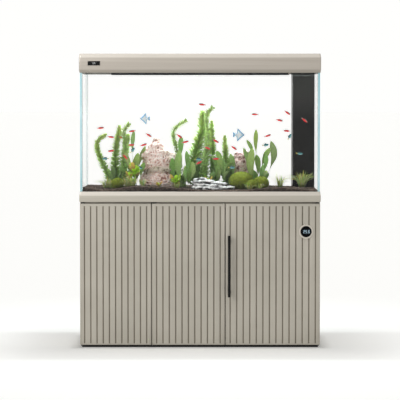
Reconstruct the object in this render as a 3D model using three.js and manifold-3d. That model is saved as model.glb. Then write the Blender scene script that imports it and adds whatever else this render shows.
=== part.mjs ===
// A 1.2 m display aquarium on its fluted three-door cabinet: glass tank, lift-up hood, corner overflow
// and sump filter. Millimetres, +Z up. The origin is on the floor under the middle of the tank, and the
// doors face -Y.
import * as THREE from "three";
import { mergeVertices } from "three/addons/utils/BufferGeometryUtils.js";
import Module from "manifold-3d";

const wasm = await Module();
wasm.setup();

// ---- driving dimensions ----
const GAP = 0.3; // left between pieces that touch
const TANK = { halfX: 600, halfY: 210, glass: 10, floor: 734, floorGlass: 12, top: 1400 };
const HOOD = { halfX: 605, halfY: 215, bottom: 1377.5, top: 1473, wallTop: 1458, corner: 8 };
const TRIM = { bottom: 731, flange: 3, flangeWidth: 30, top: 783.5 };
const CABINET = { halfX: 602, front: -188, back: 210, base: 12, deck: 706, top: 731, board: 18 };
const DOOR = { back: -190, front: -210, bottom: 13, top: 723, gap: 4 };
const GROOVE = { width: 6.5, floor: 2, depth: 4.5, side: 23, above: 13, below: 7 };
const PIVOT = { inset: 9, y: -203, pin: 3, hole: 3.3, reach: 15, plate: 3, top: 725, bottom: 8.7 };
const HANDLE = { x: 146, width: 13, bar: 10, stand: 20, bottom: 255.5, top: 563.5, foot: 14 };
const DISPLAY = { x: 531.5, z: 582.5, radius: 28, ring: 36, proud: 1.6 };
const LATCH = { z: 695.8, halfWidth: 12, halfHeight: 10, front: -186, back: -120 };
const PLUNGER = { radius: 5, bore: 5.6, deep: 50, travel: 4 };
const LEFT_DOOR_END = -244.5; // free edge of the left door
const MIDDLE_DOOR_END = 124.5; // free edge of the middle door
const PARTITION_X = -242;
const WEIR = { x: 478, y: 49, wall: 6, top: 1388, slots: 9, slot: 6, slotPitch: 13, slotDepth: 27 };
const DRAIN = { x: 545, y: 85, radius: 20, wall: 3 };
const RETURN = { x: 515, y: 140, radius: 13, wall: 2.5, run: 1437, bend: 25 };
const VALVE = { bottom: 560, top: 640, radius: 28 };
const VALVE_AXIS_Z = (VALVE.bottom + VALVE.top) / 2;
const SUMP = { left: -180, right: 580, front: -150, back: 190, bottom: 30, top: 370, wall: 6 };
const BAFFLES = [{ x: 205, top: 320 }, { x: 440, top: 290 }];
const TRAY = { right: 300, top: 425, wall: 3, lip: 20 };
const PUMP = { x: RETURN.x, y: RETURN.y, bottom: 36.6, top: 165 };
const HEATER = { x: 400, y: -118, bottom: 50, radius: 12 };
const LIGHT = { halfX: 457, front: 62, back: 142, bottom: 1371, top: 1393 };
const LID = { halfX: 589, front: -203, back: 60, bottom: 1461, top: 1472.5, axisY: 54, pin: 4 };

// The doors, from left to right. hinge is the side of the pivots: -1 for the left edge, 1 for the right.
const DOORS = [
  { name: "left", x0: -CABINET.halfX, x1: LEFT_DOOR_END, hinge: -1, grooves: 11 },
  { name: "middle", x0: LEFT_DOOR_END + DOOR.gap, x1: MIDDLE_DOOR_END, hinge: -1, grooves: 11 },
  { name: "right", x0: MIDDLE_DOOR_END + DOOR.gap, x1: CABINET.halfX, hinge: 1, grooves: 14 },
];

// Where the gravel meets the front pane: [x, height].
const GRAVEL_FRONT = [
  [-590, 808],
  [-480, 789],
  [-325, 808],
  [-165, 804],
  [0, 788],
  [215, 788],
  [385, 803],
  [590, 787],
];

// The clumps of plants: a middle on the gravel, half-widths and the height of the tallest leaf.
const THICKETS = [
  { name: "left", x: -415, y: 20, halfX: 95, halfY: 60, top: 1120 },
  { name: "middle", x: 35, y: 55, halfX: 120, halfY: 55, top: 1195 },
  { name: "right", x: 330, y: 10, halfX: 85, halfY: 55, top: 1080 },
];

// ---- materials ----
const finish = (color, roughness, metalness = 0, opacity = 1) =>
  new THREE.MeshStandardMaterial({ color, roughness, metalness, opacity, transparent: opacity < 1 });
const MATERIAL = {
  paint: finish(0xbdb5a6, 0.45, 0.05),
  board: finish(0xb3aa9a, 0.6),
  black: finish(0x232323, 0.5),
  steel: finish(0x2b2d2f, 0.35, 0.8),
  glass: finish(0xdff2f0, 0.05, 0, 0.35),
  acrylic: finish(0x2c2d2b, 0.25),
  plastic: finish(0x8d9296, 0.5),
  white: finish(0xe9e9e4, 0.5),
  gravel: finish(0x3c322c, 0.95),
  pinkRock: finish(0xc9a398, 0.9),
  slate: finish(0x9b9c9b, 0.85),
  plant: finish(0x5f8a34, 0.7),
  media: finish(0xcfc4ae, 0.9),
};

// ---- solids ----
function solidOf(geometry) {
  const bare = geometry.index ? geometry.toNonIndexed() : geometry.clone();
  for (const name of Object.keys(bare.attributes)) {
    if (name !== "position") bare.deleteAttribute(name);
  }
  const merged = mergeVertices(bare, 1e-3);
  const vertProperties = new Float32Array(merged.attributes.position.array);
  const triVerts = new Uint32Array(merged.index.array);
  return new wasm.Manifold(new wasm.Mesh({ numProp: 3, vertProperties, triVerts }));
}

function geometryOf(solid) {
  const mesh = solid.getMesh();
  const geometry = new THREE.BufferGeometry();
  geometry.setAttribute("position", new THREE.BufferAttribute(new Float32Array(mesh.vertProperties), 3));
  geometry.setIndex(new THREE.BufferAttribute(new Uint32Array(mesh.triVerts), 1));
  return geometry;
}

const cut = (base, ...tools) =>
  geometryOf(tools.reduce((solid, tool) => solid.subtract(solidOf(tool)), solidOf(base)));
const join = (...pieces) => geometryOf(pieces.map(solidOf).reduce((a, b) => a.add(b)));

// A box between two limits on each axis.
function box([x0, x1], [y0, y1], [z0, z1]) {
  const geometry = new THREE.BoxGeometry(1, 1, 1);
  geometry.translate(0.5, 0.5, 0.5);
  geometry.scale(x1 - x0, y1 - y0, z1 - z0);
  return geometry.translate(x0, y0, z0);
}

// A box drawn in by half the gap on every side, so that neighbours drawn to one line stay clear.
function panel([x0, x1], [y0, y1], [z0, z1]) {
  const g = GAP / 2;
  return box([x0 + g, x1 - g], [y0 + g, y1 - g], [z0 + g, z1 - g]);
}

// A rod between two heights, or along Y.
function rod(x, y, [z0, z1], radius, sides = 24) {
  const geometry = new THREE.CylinderGeometry(radius, radius, z1 - z0, sides).rotateX(Math.PI / 2);
  return geometry.translate(x, y, (z0 + z1) / 2);
}
function rodAlongY(x, [y0, y1], z, radius, sides = 24) {
  const geometry = new THREE.CylinderGeometry(radius, radius, y1 - y0, sides);
  return geometry.translate(x, (y0 + y1) / 2, z);
}
function rodAlongX([x0, x1], y, z, radius, sides = 24) {
  const geometry = new THREE.CylinderGeometry(radius, radius, x1 - x0, sides).rotateZ(Math.PI / 2);
  return geometry.translate((x0 + x1) / 2, y, z);
}

// A closed profile of [radius, height] pairs, anticlockwise, turned about a vertical axis.
function turned(x, y, profile, sides = 20) {
  const points = [...profile, profile[0]].map(([r, z]) => new THREE.Vector2(r, z));
  return new THREE.LatheGeometry(points, sides).rotateX(Math.PI / 2).translate(x, y, 0);
}

const pipe = (x, y, [z0, z1], radius, wall) =>
  turned(x, y, [[radius - wall, z0], [radius, z0], [radius, z1], [radius - wall, z1]]);

// An upright prism on an outline in the XY plane.
function prism(outline, [z0, z1]) {
  const shape = new THREE.Shape(outline.map(([x, y]) => new THREE.Vector2(x, y)));
  return new THREE.ExtrudeGeometry(shape, { depth: z1 - z0, bevelEnabled: false }).translate(0, 0, z0);
}

// A bar whose half-sizes change with height, with rounded upright corners.
function stackedBar(levels, corner, cornerSteps = 4) {
  const rings = levels.map(([z, halfX, halfY]) => {
    const ring = [];
    for (let quarter = 0; quarter < 4; quarter++) {
      for (let step = 0; step <= cornerSteps; step++) {
        const angle = ((quarter + step / cornerSteps) * Math.PI) / 2;
        const sx = quarter === 0 || quarter === 3 ? 1 : -1;
        const sy = quarter < 2 ? 1 : -1;
        ring.push([
          sx * (halfX - corner) + corner * Math.cos(angle),
          sy * (halfY - corner) + corner * Math.sin(angle),
          z,
        ]);
      }
    }
    return ring;
  });
  const count = rings[0].length;
  const index = [];
  for (let level = 0; level + 1 < rings.length; level++) {
    for (let i = 0; i < count; i++) {
      const a = level * count + i;
      const b = level * count + ((i + 1) % count);
      index.push(a, b, b + count, a, b + count, a + count);
    }
  }
  const last = (rings.length - 1) * count;
  for (let i = 1; i + 1 < count; i++) index.push(0, i + 1, i, last, last + i, last + i + 1);
  const geometry = new THREE.BufferGeometry();
  geometry.setAttribute("position", new THREE.Float32BufferAttribute(rings.flat(2), 3));
  return geometry.setIndex(index);
}

// A route of straight runs with rounded corners. Its stations are at the ends of the runs and along
// the bends only, so a long straight run takes two triangles a side.
class PipeRun extends THREE.Curve {
  constructor(corners, bend, bendSteps = 5) {
    super();
    const points = corners.map((c) => new THREE.Vector3(...c));
    this.stations = [points[0]];
    this.headings = [points[1].clone().sub(points[0]).normalize()];
    for (let i = 1; i + 1 < points.length; i++) {
      const before = points[i].clone().sub(points[i - 1]).normalize();
      const after = points[i + 1].clone().sub(points[i]).normalize();
      const centre = points[i].clone().addScaledVector(before, -bend).addScaledVector(after, bend);
      for (let step = 0; step <= bendSteps; step++) {
        const turn = ((step / bendSteps) * Math.PI) / 2;
        const station = centre.clone().addScaledVector(after, -bend * Math.cos(turn));
        this.stations.push(station.addScaledVector(before, bend * Math.sin(turn)));
        const heading = before.clone().multiplyScalar(Math.cos(turn));
        this.headings.push(heading.addScaledVector(after, Math.sin(turn)));
      }
    }
    this.stations.push(points.at(-1));
    this.headings.push(this.headings.at(-1).clone());
  }
  get steps() {
    return this.stations.length - 1;
  }
  getPointAt(u) {
    return this.stations[Math.round(u * this.steps)].clone();
  }
  getTangentAt(u) {
    return this.headings[Math.round(u * this.steps)].clone().normalize();
  }
}

function bentPipe(corners, bend, radius, wall) {
  const route = new PipeRun(corners, bend);
  const section = new THREE.Shape().absarc(0, 0, radius, 0, 2 * Math.PI);
  section.holes.push(new THREE.Path().absarc(0, 0, radius - wall, 0, 2 * Math.PI, true));
  return new THREE.ExtrudeGeometry(section, { extrudePath: route, steps: route.steps, curveSegments: 8 });
}

// ---- the assembly ----
const aquarium = new THREE.Group();
function add(name, geometry, material) {
  const mesh = new THREE.Mesh(geometry, material);
  mesh.name = name;
  aquarium.add(mesh);
}

const pivotX = ({ x0, x1, hinge }) => (hinge < 0 ? x0 + PIVOT.inset : x1 - PIVOT.inset);

// Where a pivot plate lies, grown by some clearance.
function pivotPlate(door, bottom, clearance) {
  const x = pivotX(door);
  const halfWidth = 14 + clearance;
  return box(
    [Math.max(x - halfWidth, 4 - CABINET.halfX), Math.min(x + halfWidth, CABINET.halfX - 4)],
    [PIVOT.y - 6, -160 + clearance],
    [bottom - clearance, bottom + PIVOT.plate + clearance],
  );
}

function levellingBoard() {
  const board = box([-593, 593], [-200, 205], [0, CABINET.base - GAP / 2]);
  add("levelling_board", cut(board, ...DOORS.map((d) => pivotPlate(d, PIVOT.bottom, GAP))), MATERIAL.black);
}

function cabinetPanels() {
  const { halfX, front, back, base, deck, top, board } = CABINET;
  const depth = [front, back];
  const standing = [base + board, deck];
  const backBoard = 12;
  add("cabinet_floor", panel([-halfX, halfX], depth, [base, base + board]), MATERIAL.board);
  add("cabinet_side_left", panel([-halfX, board - halfX], depth, standing), MATERIAL.paint);
  add("cabinet_side_right", panel([halfX - board, halfX], depth, standing), MATERIAL.paint);
  const inner = [front, back - backBoard];
  const partitionX = [PARTITION_X - board / 2, PARTITION_X + board / 2];
  add("cabinet_partition", panel(partitionX, inner, standing), MATERIAL.board);
  const shelfX = [board - halfX, PARTITION_X - board / 2];
  add("cabinet_shelf", panel(shelfX, [-165, back - backBoard], [360, 375]), MATERIAL.board);
  const deckBoard = cut(
    panel([-halfX, halfX], depth, [deck, top]),
    ...DOORS.map((d) => pivotPlate(d, PIVOT.top, GAP)),
    rod(DRAIN.x, DRAIN.y, [deck - 5, top + 5], DRAIN.radius + 2),
    rod(RETURN.x, RETURN.y, [deck - 5, top + 5], RETURN.radius + 2),
  );
  add("cabinet_deck", deckBoard, MATERIAL.board);
  const through = [back - backBoard - 5, back + 5];
  const backPanel = cut(
    panel([board - halfX, halfX - board], [back - backBoard, back], standing),
    rodAlongY(330, through, 600, 40, 16),
    rodAlongY(430, through, 600, 40, 16),
    box([330, 430], through, [560, 640]),
    rodAlongY(-420, through, 600, 30, 16),
  );
  add("cabinet_back", backPanel, MATERIAL.board);
}

// One fluted door: a slab with eased front edges, a hinge edge cut away behind the pivots, a blind
// pivot hole in each end, and grooves that stop short of the top and bottom.
function door(spec) {
  const { x0, x1, hinge, grooves } = spec;
  const ease = 2;
  const relief = 5;
  const hingeX = hinge < 0 ? x0 : x1;
  const freeX = hinge < 0 ? x1 : x0;
  const inward = -hinge;
  const outline = [
    [hingeX, DOOR.front + ease],
    [hingeX + inward * ease, DOOR.front],
    [freeX - inward * ease, DOOR.front],
    [freeX, DOOR.front + ease],
    [freeX, DOOR.back],
    [hingeX + inward * relief, DOOR.back],
    [hingeX, DOOR.back - relief],
  ];
  const height = [DOOR.bottom, DOOR.top];
  const tools = [];
  const pitch = (x1 - x0 - 2 * GROOVE.side) / (grooves - 1);
  for (let i = 0; i < grooves; i++) {
    const x = x0 + GROOVE.side + i * pitch;
    const mouth = GROOVE.width / 2;
    const floor = GROOVE.floor / 2;
    const section = [
      [x - mouth, DOOR.front],
      [x - mouth, DOOR.front - 1],
      [x + mouth, DOOR.front - 1],
      [x + mouth, DOOR.front],
      [x + floor, DOOR.front + GROOVE.depth],
      [x - floor, DOOR.front + GROOVE.depth],
    ];
    tools.push(prism(section, [DOOR.bottom + GROOVE.below, DOOR.top - GROOVE.above]));
  }
  const x = pivotX(spec);
  tools.push(rod(x, PIVOT.y, [DOOR.top - PIVOT.reach - 2, DOOR.top + 1], PIVOT.hole, 16));
  tools.push(rod(x, PIVOT.y, [DOOR.bottom - 1, DOOR.bottom + PIVOT.reach + 2], PIVOT.hole, 16));
  if (spec.name === "right") {
    const through = [DOOR.front - 5, DOOR.back + 5];
    tools.push(rodAlongY(DISPLAY.x, through, DISPLAY.z, DISPLAY.radius + GAP, 32));
  }
  return cut(prism(outline, height), ...tools);
}

function doors() {
  for (const spec of DOORS) {
    add(`door_${spec.name}`, door(spec), MATERIAL.paint);
    const x = pivotX(spec);
    const upper = rod(x, PIVOT.y, [DOOR.top - PIVOT.reach, PIVOT.top + 1], PIVOT.pin, 16);
    const lower = rod(x, PIVOT.y, [PIVOT.bottom + 1, DOOR.bottom + PIVOT.reach], PIVOT.pin, 16);
    add(`pivot_${spec.name}_top`, join(pivotPlate(spec, PIVOT.top, 0), upper), MATERIAL.steel);
    add(`pivot_${spec.name}_bottom`, join(pivotPlate(spec, PIVOT.bottom, 0), lower), MATERIAL.steel);
  }
}

function doorHandle() {
  const { x, width, bar, stand, bottom, top, foot } = HANDLE;
  const side = [x - width / 2, x + width / 2];
  const barFront = DOOR.front - GAP - stand - bar;
  const profile = box(side, [barFront, barFront + bar], [bottom, top]);
  const post = (z) => box([x - 5, x + 5], [barFront + bar - 1, DOOR.front - GAP], [z, z + foot]);
  add("door_handle", join(profile, post(bottom + 18), post(top - 18 - foot)), MATERIAL.steel);
}

function waterDisplay() {
  const { x, z, radius, ring, proud } = DISPLAY;
  const bezelY = [DOOR.front - GAP - proud, DOOR.front - GAP];
  const bezel = cut(
    rodAlongY(x, bezelY, z, ring, 40),
    rodAlongY(x, [bezelY[0] - 1, bezelY[1] + 1], z, radius + GAP, 40),
  );
  add("display_bezel", bezel, MATERIAL.paint);
  add("display_module", rodAlongY(x, [DOOR.front - 1, DOOR.back + 8], z, radius - 0.2, 32), MATERIAL.black);
}

// A touch latch for each door that has no handle: a housing under the deck and a sprung plunger.
function touchLatches() {
  const { z, halfWidth, halfHeight, front, back } = LATCH;
  const { radius, bore, deep, travel } = PLUNGER;
  for (const [name, x] of [["left", LEFT_DOOR_END - 32], ["middle", MIDDLE_DOOR_END - 32]]) {
    const housing = cut(
      box([x - halfWidth, x + halfWidth], [front, back], [z - halfHeight, z + halfHeight]),
      rodAlongY(x, [front - 5, front + deep + travel + 2], z, bore, 16),
    );
    add(`touch_latch_${name}`, housing, MATERIAL.plastic);
    const plunger = rodAlongY(x, [DOOR.back + 0.4, front + deep], z, radius, 16);
    add(`latch_plunger_${name}`, plunger, MATERIAL.white);
  }
}

function baseTrim() {
  const { halfX, halfY, corner } = HOOD;
  const { bottom, top, flange, flangeWidth } = TRIM;
  const outer = stackedBar(
    [
      [bottom + GAP / 2, halfX - 1.5, halfY - 1.5],
      [bottom + 4, halfX, halfY],
      [top - 20, halfX, halfY],
      [top, halfX - 3, halfY - 3],
    ],
    corner,
  );
  const seat = box(
    [-TANK.halfX - 0.4, TANK.halfX + 0.4],
    [-TANK.halfY - 0.4, TANK.halfY + 0.4],
    [bottom + flange - GAP / 2, top + 5],
  );
  const well = box(
    [flangeWidth - TANK.halfX, TANK.halfX - flangeWidth],
    [flangeWidth - TANK.halfY, TANK.halfY - flangeWidth],
    [bottom - 5, top],
  );
  add("base_trim", cut(outer, seat, well), MATERIAL.paint);
}

function glassTank() {
  const { halfX, halfY, glass, floor, floorGlass, top } = TANK;
  const floorPane = cut(
    panel([-halfX, halfX], [-halfY, halfY], [floor, floor + floorGlass]),
    rod(DRAIN.x, DRAIN.y, [floor - 5, floor + 20], DRAIN.radius + 0.9),
    rod(RETURN.x, RETURN.y, [floor - 5, floor + 20], RETURN.radius + 0.9),
  );
  add("glass_floor", floorPane, MATERIAL.glass);
  const wall = [floor + floorGlass, top];
  add("glass_left", panel([-halfX, glass - halfX], [-halfY, halfY], wall), MATERIAL.glass);
  add("glass_right", panel([halfX - glass, halfX], [-halfY, halfY], wall), MATERIAL.glass);
  const between = [glass - halfX, halfX - glass];
  add("glass_front", panel(between, [-halfY, glass - halfY], wall), MATERIAL.glass);
  add("glass_back", panel(between, [halfY - glass, halfY], wall), MATERIAL.glass);
  const brace = { width: 50, z: [top - 12, top - 2] };
  const frontBrace = [glass - halfY, glass - halfY + brace.width];
  add("glass_brace_front", panel(between, frontBrace, brace.z), MATERIAL.glass);
  const backBrace = [halfY - glass - brace.width, halfY - glass];
  add("glass_brace_back", panel([between[0], WEIR.x], backBrace, brace.z), MATERIAL.glass);
}

// The corner overflow: two black panels. The one that faces the tank has a comb along its top.
function overflowWeir() {
  const { x, y, wall, top, slot, slotPitch, slotDepth } = WEIR;
  const bottom = TANK.floor + TANK.floorGlass;
  const right = TANK.halfX - TANK.glass;
  const back = TANK.halfY - TANK.glass;
  add("weir_front_panel", panel([x, right], [y, y + wall], [bottom, top]), MATERIAL.acrylic);
  const slots = [];
  for (let i = 0; i < WEIR.slots; i++) {
    const slotY = y + 22 + i * slotPitch;
    slots.push(box([x - 1, x + wall + 1], [slotY, slotY + slot], [top - slotDepth, top + 5]));
  }
  const side = cut(panel([x, x + wall], [y + wall, back], [bottom, top]), ...slots);
  add("weir_side_panel", side, MATERIAL.acrylic);
}

function drainPipes() {
  const { x, y, radius, wall } = DRAIN;
  const strainerBottom = 1345;
  const standpipe = pipe(x, y, [VALVE.top + GAP, strainerBottom - GAP], radius, wall);
  add("drain_standpipe", standpipe, MATERIAL.plastic);
  const dome = turned(x, y, [
    [radius - 4, strainerBottom],
    [radius + 6, strainerBottom],
    [radius + 6, strainerBottom + 22],
    [radius, strainerBottom + 30],
    [radius - 4, strainerBottom + 26],
  ]);
  const slots = [];
  for (let i = 0; i < 4; i++) {
    const slot = new THREE.BoxGeometry(2 * radius + 20, 4, 14).rotateZ((i * Math.PI) / 4);
    slots.push(slot.translate(x, y, strainerBottom + 12));
  }
  add("drain_strainer", cut(dome, ...slots), MATERIAL.black);

  const bore = radius - wall;
  const body = join(
    turned(x, y, [
      [bore, VALVE.bottom],
      [radius + 3, VALVE.bottom],
      [VALVE.radius, VALVE.bottom + 16],
      [VALVE.radius, VALVE.top - 16],
      [radius + 3, VALVE.top],
      [bore, VALVE.top],
    ]),
    rodAlongY(x, [y - VALVE.radius - 8, y - radius], VALVE_AXIS_Z, 10, 16),
  );
  add("drain_valve_body", body, MATERIAL.plastic);
  const hubY = y - VALVE.radius - 8 - GAP;
  const lever = join(
    rodAlongY(x, [hubY - 9, hubY], VALVE_AXIS_Z, 11, 16),
    box([x - 7, x + 7], [hubY - 8, hubY - 2], [VALVE_AXIS_Z, VALVE_AXIS_Z + 72]),
  );
  add("drain_valve_lever", lever, MATERIAL.steel);

  const corners = [[x, y, VALVE.bottom - GAP], [x, y, 490], [200, y, 490], [200, y, 432]];
  add("drain_tail_pipe", bentPipe(corners, 28, radius, wall), MATERIAL.plastic);
}

function returnPipes() {
  const { x, y, radius, wall, run, bend } = RETURN;
  const end = 34;
  const corners = [[x, y, PUMP.top + GAP], [x, y, run], [x, end, run]];
  add("return_pipe", bentPipe(corners, bend, radius, wall), MATERIAL.plastic);
  const nozzle = [[x, end - GAP, run], [x, end - 34, run], [x, end - 34, run - 44]];
  add("return_nozzle", bentPipe(nozzle, 18, radius, wall), MATERIAL.black);
}

// The sump under the tank: a glass box with two baffles, with its filter pieces, pump and heater.
function sumpTank() {
  const { left, right, front, back, bottom, top, wall } = SUMP;
  const shell = cut(
    box([left, right], [front, back], [bottom + GAP, top]),
    box([left + wall, right - wall], [front + wall, back - wall], [bottom + wall, top + 5]),
  );
  const baffles = BAFFLES.map((b) =>
    box([b.x, b.x + wall], [front + wall - 1, back - wall + 1], [bottom + wall - 1, b.top]),
  );
  add("sump_tank", join(shell, ...baffles), MATERIAL.glass);
}

// The drip tray hangs on the sump's long walls and drains through slots into the first chamber.
function sumpFilter() {
  const { left, front, back, bottom, wall, top } = SUMP;
  const x = [left + 12, TRAY.right];
  const y = [front + 14, back - 14];
  const z = [top + GAP, TRAY.top];
  const inset = ([a, b], by) => [a + by, b - by];
  const slots = [0, 1, 2, 3, 4].map((i) => {
    const slotX = x[0] + 50 + i * 70;
    return box([slotX, slotX + 10], inset(y, 40), [z[0] - 5, z[1]]);
  });
  const tray = cut(
    join(box(x, y, z), box(x, inset(y, -TRAY.lip), [z[0], z[0] + 4])),
    box(inset(x, TRAY.wall), inset(y, TRAY.wall), [z[0] + TRAY.wall, z[1] + 5]),
    ...slots,
  );
  add("drip_tray", tray, MATERIAL.plastic);
  const flossZ = [z[0] + TRAY.wall, z[0] + TRAY.wall + 24];
  add("filter_floss", panel(inset(x, TRAY.wall + 2), inset(y, TRAY.wall + 2), flossZ), MATERIAL.white);
  const mediaX = [left + wall + 8, BAFFLES[0].x - 8];
  const mediaY = [front + wall + 10, back - wall - 10];
  add("bio_media", box(mediaX, mediaY, [bottom + wall + GAP, 205]), MATERIAL.media);
}

// The pump: a housing with a barred intake below, a centre pin for the rotor and an outlet above.
function returnPump() {
  const { x, y, bottom, top } = PUMP;
  const chamber = [bottom + 10, bottom + 42];
  const shell = turned(x, y, [
    [22, bottom],
    [42, bottom],
    [42, top - 25],
    [17, top - 13],
    [17, top],
    [10, top],
    [10, chamber[1]],
    [30, chamber[1]],
    [30, chamber[0]],
    [22, chamber[0]],
  ]);
  const bars = [
    box([x - 24, x + 24], [y - 3, y + 3], [bottom + 1, bottom + 8]),
    box([x - 3, x + 3], [y - 24, y + 24], [bottom + 1, bottom + 8]),
  ];
  const pin = rod(x, y, [bottom + 5, chamber[1] - 8], 2.5, 12);
  add("pump_housing", join(shell, ...bars, pin), MATERIAL.black);
  const vanes = [0, 1, 2].map((i) =>
    new THREE.BoxGeometry(50, 3, 18).rotateZ((i * Math.PI) / 3).translate(x, y, bottom + 26),
  );
  const hub = rod(x, y, [bottom + 15, chamber[1] - 3], 8, 16);
  const bore = rod(x, y, [bottom + 10, chamber[1] - 7], 2.9, 12);
  add("pump_impeller", cut(join(hub, ...vanes), bore), MATERIAL.white);
}

// The heater: a glass tube with a control cap, on two suction cups against the sump's front wall.
function sumpHeater() {
  const { x, y, bottom, radius } = HEATER;
  const tube = turned(
    x,
    y,
    [
      [0, bottom],
      [radius - 3, bottom + 3],
      [radius, bottom + 12],
      [radius, bottom + 212],
      [radius + 3, bottom + 214],
      [radius + 3, bottom + 250],
      [radius - 6, bottom + 254],
      [0, bottom + 254],
    ],
    16,
  );
  const wallY = SUMP.front + SUMP.wall + GAP;
  const cups = [bottom + 50, bottom + 170].map((z) => rodAlongY(x, [wallY, y], z, 11, 12));
  add("sump_heater", join(tube, ...cups), MATERIAL.black);
}

// The hood: a one-piece cover that sits on the tank's rim, with a lid let into its top.
function hoodFrame() {
  const { halfX, halfY, bottom, top, wallTop, corner } = HOOD;
  const outer = stackedBar(
    [
      [bottom, halfX - 3, halfY - 3],
      [bottom + 16, halfX, halfY],
      [top - 19.5, halfX, halfY],
      [top, halfX - 3, halfY - 3],
    ],
    corner,
  );
  const overGlass = box(
    [-TANK.halfX - 0.4, TANK.halfX + 0.4],
    [-TANK.halfY - 0.4, TANK.halfY + 0.4],
    [bottom - 5, TANK.top + GAP / 2],
  );
  const cavity = box([-590, 590], [-200, 200], [bottom, wallTop]);
  const mouth = box([-592, 592], [-205, 63], [1444, top + 5]);
  const pinBore = [LID.axisY, (LID.bottom + LID.top) / 2, LID.pin + GAP, 16];
  const cableNotch = box([380, 450], [196, halfY + 5], [wallTop - 12, top + 5]);
  const slots = [];
  for (let i = 0; i < 7; i++) {
    const x = -120 + i * 40;
    slots.push(box([x - 3, x + 3], [110, 170], [wallTop - 5, top + 5]));
  }
  const shell = cut(
    outer,
    overGlass,
    cavity,
    mouth,
    rodAlongX([-599, -590], ...pinBore),
    rodAlongX([590, 599], ...pinBore),
    cableNotch,
    ...slots,
  );
  const ledgeZ = [LID.bottom - GAP - 8, LID.bottom - GAP];
  const ledges = [-1, 1].flatMap((side) => {
    const front = [side * 60, side * 300].sort((a, b) => a - b);
    const end = [side * 593, side * 583].sort((a, b) => a - b);
    return [box(front, [-206, -194], ledgeZ), box(end, [-206, 20], ledgeZ)];
  });
  add("hood_frame", join(shell, ...ledges), MATERIAL.paint);
}

function hoodLid() {
  const { halfX, front, back, bottom, top, axisY, pin } = LID;
  const axisZ = (bottom + top) / 2;
  const plate = cut(
    join(
      box([-halfX, halfX], [front, axisY], [bottom, top]),
      box([-halfX, halfX], [axisY - 1, back], [bottom + 2, top - 2]),
    ),
    rod(0, front - 18, [bottom - 1, top + 1], 30, 32),
  );
  const pins = [-1, 1].map((side) => {
    const x = [side * (halfX - 5), side * (halfX + 7)].sort((a, b) => a - b);
    return rodAlongX(x, axisY, axisZ, pin, 16);
  });
  add("hood_lid", join(plate, ...pins), MATERIAL.paint);
}

function lightBar() {
  const { halfX, front, back, bottom, top } = LIGHT;
  const hanger = (x) => box([x - 12, x + 12], [front + 30, front + 34], [top - 1, HOOD.wallTop - GAP]);
  const housing = cut(
    join(box([-halfX, halfX], [front, back], [bottom, top]), hanger(-300), hanger(300)),
    box([8 - halfX, halfX - 8], [front + 8, back - 8], [bottom - 5, bottom + 8]),
  );
  add("light_bar", housing, MATERIAL.black);
  const lens = box([9 - halfX, halfX - 9], [front + 9, back - 9], [bottom + 3, bottom + 6]);
  add("light_diffuser", lens, MATERIAL.white);
}

function badge() {
  const y = -HOOD.halfY - GAP;
  add("badge_plate", box([-560.5, -499], [y - 1.6, y], [1414, 1435.5]), MATERIAL.black);
}

// The height of the gravel: a wavy front edge that runs back to a nearly level rear.
const GRAVEL_EDGE = new THREE.CatmullRomCurve3(GRAVEL_FRONT.map(([x, z]) => new THREE.Vector3(x, 0, z)));
const EDGE_POINTS = GRAVEL_EDGE.getPoints(96);
function gravelHeight(x, y) {
  const next = EDGE_POINTS.findIndex((p) => p.x >= x);
  const a = EDGE_POINTS[Math.max(next - 1, 0)];
  const b = EDGE_POINTS[next < 0 ? EDGE_POINTS.length - 1 : next];
  const share = b.x > a.x ? (x - a.x) / (b.x - a.x) : 0;
  const front = a.z + (b.z - a.z) * share;
  const rear = 798 + 5 * Math.sin(x / 130 + 0.6);
  const back = (y + 200) / 400;
  return front + (rear - front) * back + 4 * Math.sin(Math.PI * back) * Math.sin(x / 70);
}

function gravelSolid(lift = 0) {
  const bottom = TANK.floor + TANK.floorGlass + GAP;
  const bed = new THREE.BoxGeometry(1179, 399, 1, 26, 6, 1);
  const position = bed.attributes.position;
  for (let i = 0; i < position.count; i++) {
    const x = position.getX(i);
    const y = position.getY(i);
    position.setZ(i, position.getZ(i) > 0 ? gravelHeight(x, y) + lift : bottom);
  }
  return bed;
}

// A boulder: a sphere drawn out to its half-sizes and broken up by a few waves.
function boulder([x, y, z], [rx, ry, rz], rough, seed, detail = 4) {
  const stone = new THREE.IcosahedronGeometry(1, detail);
  const position = stone.attributes.position;
  const p = new THREE.Vector3();
  for (let i = 0; i < position.count; i++) {
    p.fromBufferAttribute(position, i).normalize();
    const broad = Math.sin(p.x * 5.1 + seed) * Math.sin(p.y * 4.3 - seed);
    const fine = Math.sin(p.z * 7.7 + p.x * 3.1 + 2 * seed);
    p.multiplyScalar(1 + rough * (broad + 0.6 * fine));
    position.setXYZ(i, x + p.x * rx, y + p.y * ry, z + p.z * rz);
  }
  return stone;
}

function aquascape() {
  const corner = box([WEIR.x - 0.5, 700], [WEIR.y - 0.5, 300], [700, 900]);
  add("gravel_bed", cut(gravelSolid(), corner), MATERIAL.gravel);
  const onGravel = (...stones) => cut(join(...stones), gravelSolid(GAP));
  const largeRock = onGravel(
    boulder([-218, 30, 835], [92, 80, 62], 0.06, 1.3, 3),
    boulder([-205, 40, 935], [88, 76, 80], 0.07, 2.4, 3),
  );
  add("rock_large", largeRock, MATERIAL.pinkRock);
  add("rock_column", onGravel(boulder([212, 90, 890], [44, 44, 108], 0.05, 4.1, 3)), MATERIAL.pinkRock);
  add("rock_slate", onGravel(boulder([62, -105, 806], [112, 70, 38], 0.07, 3.2, 3)), MATERIAL.slate);
}

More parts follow.
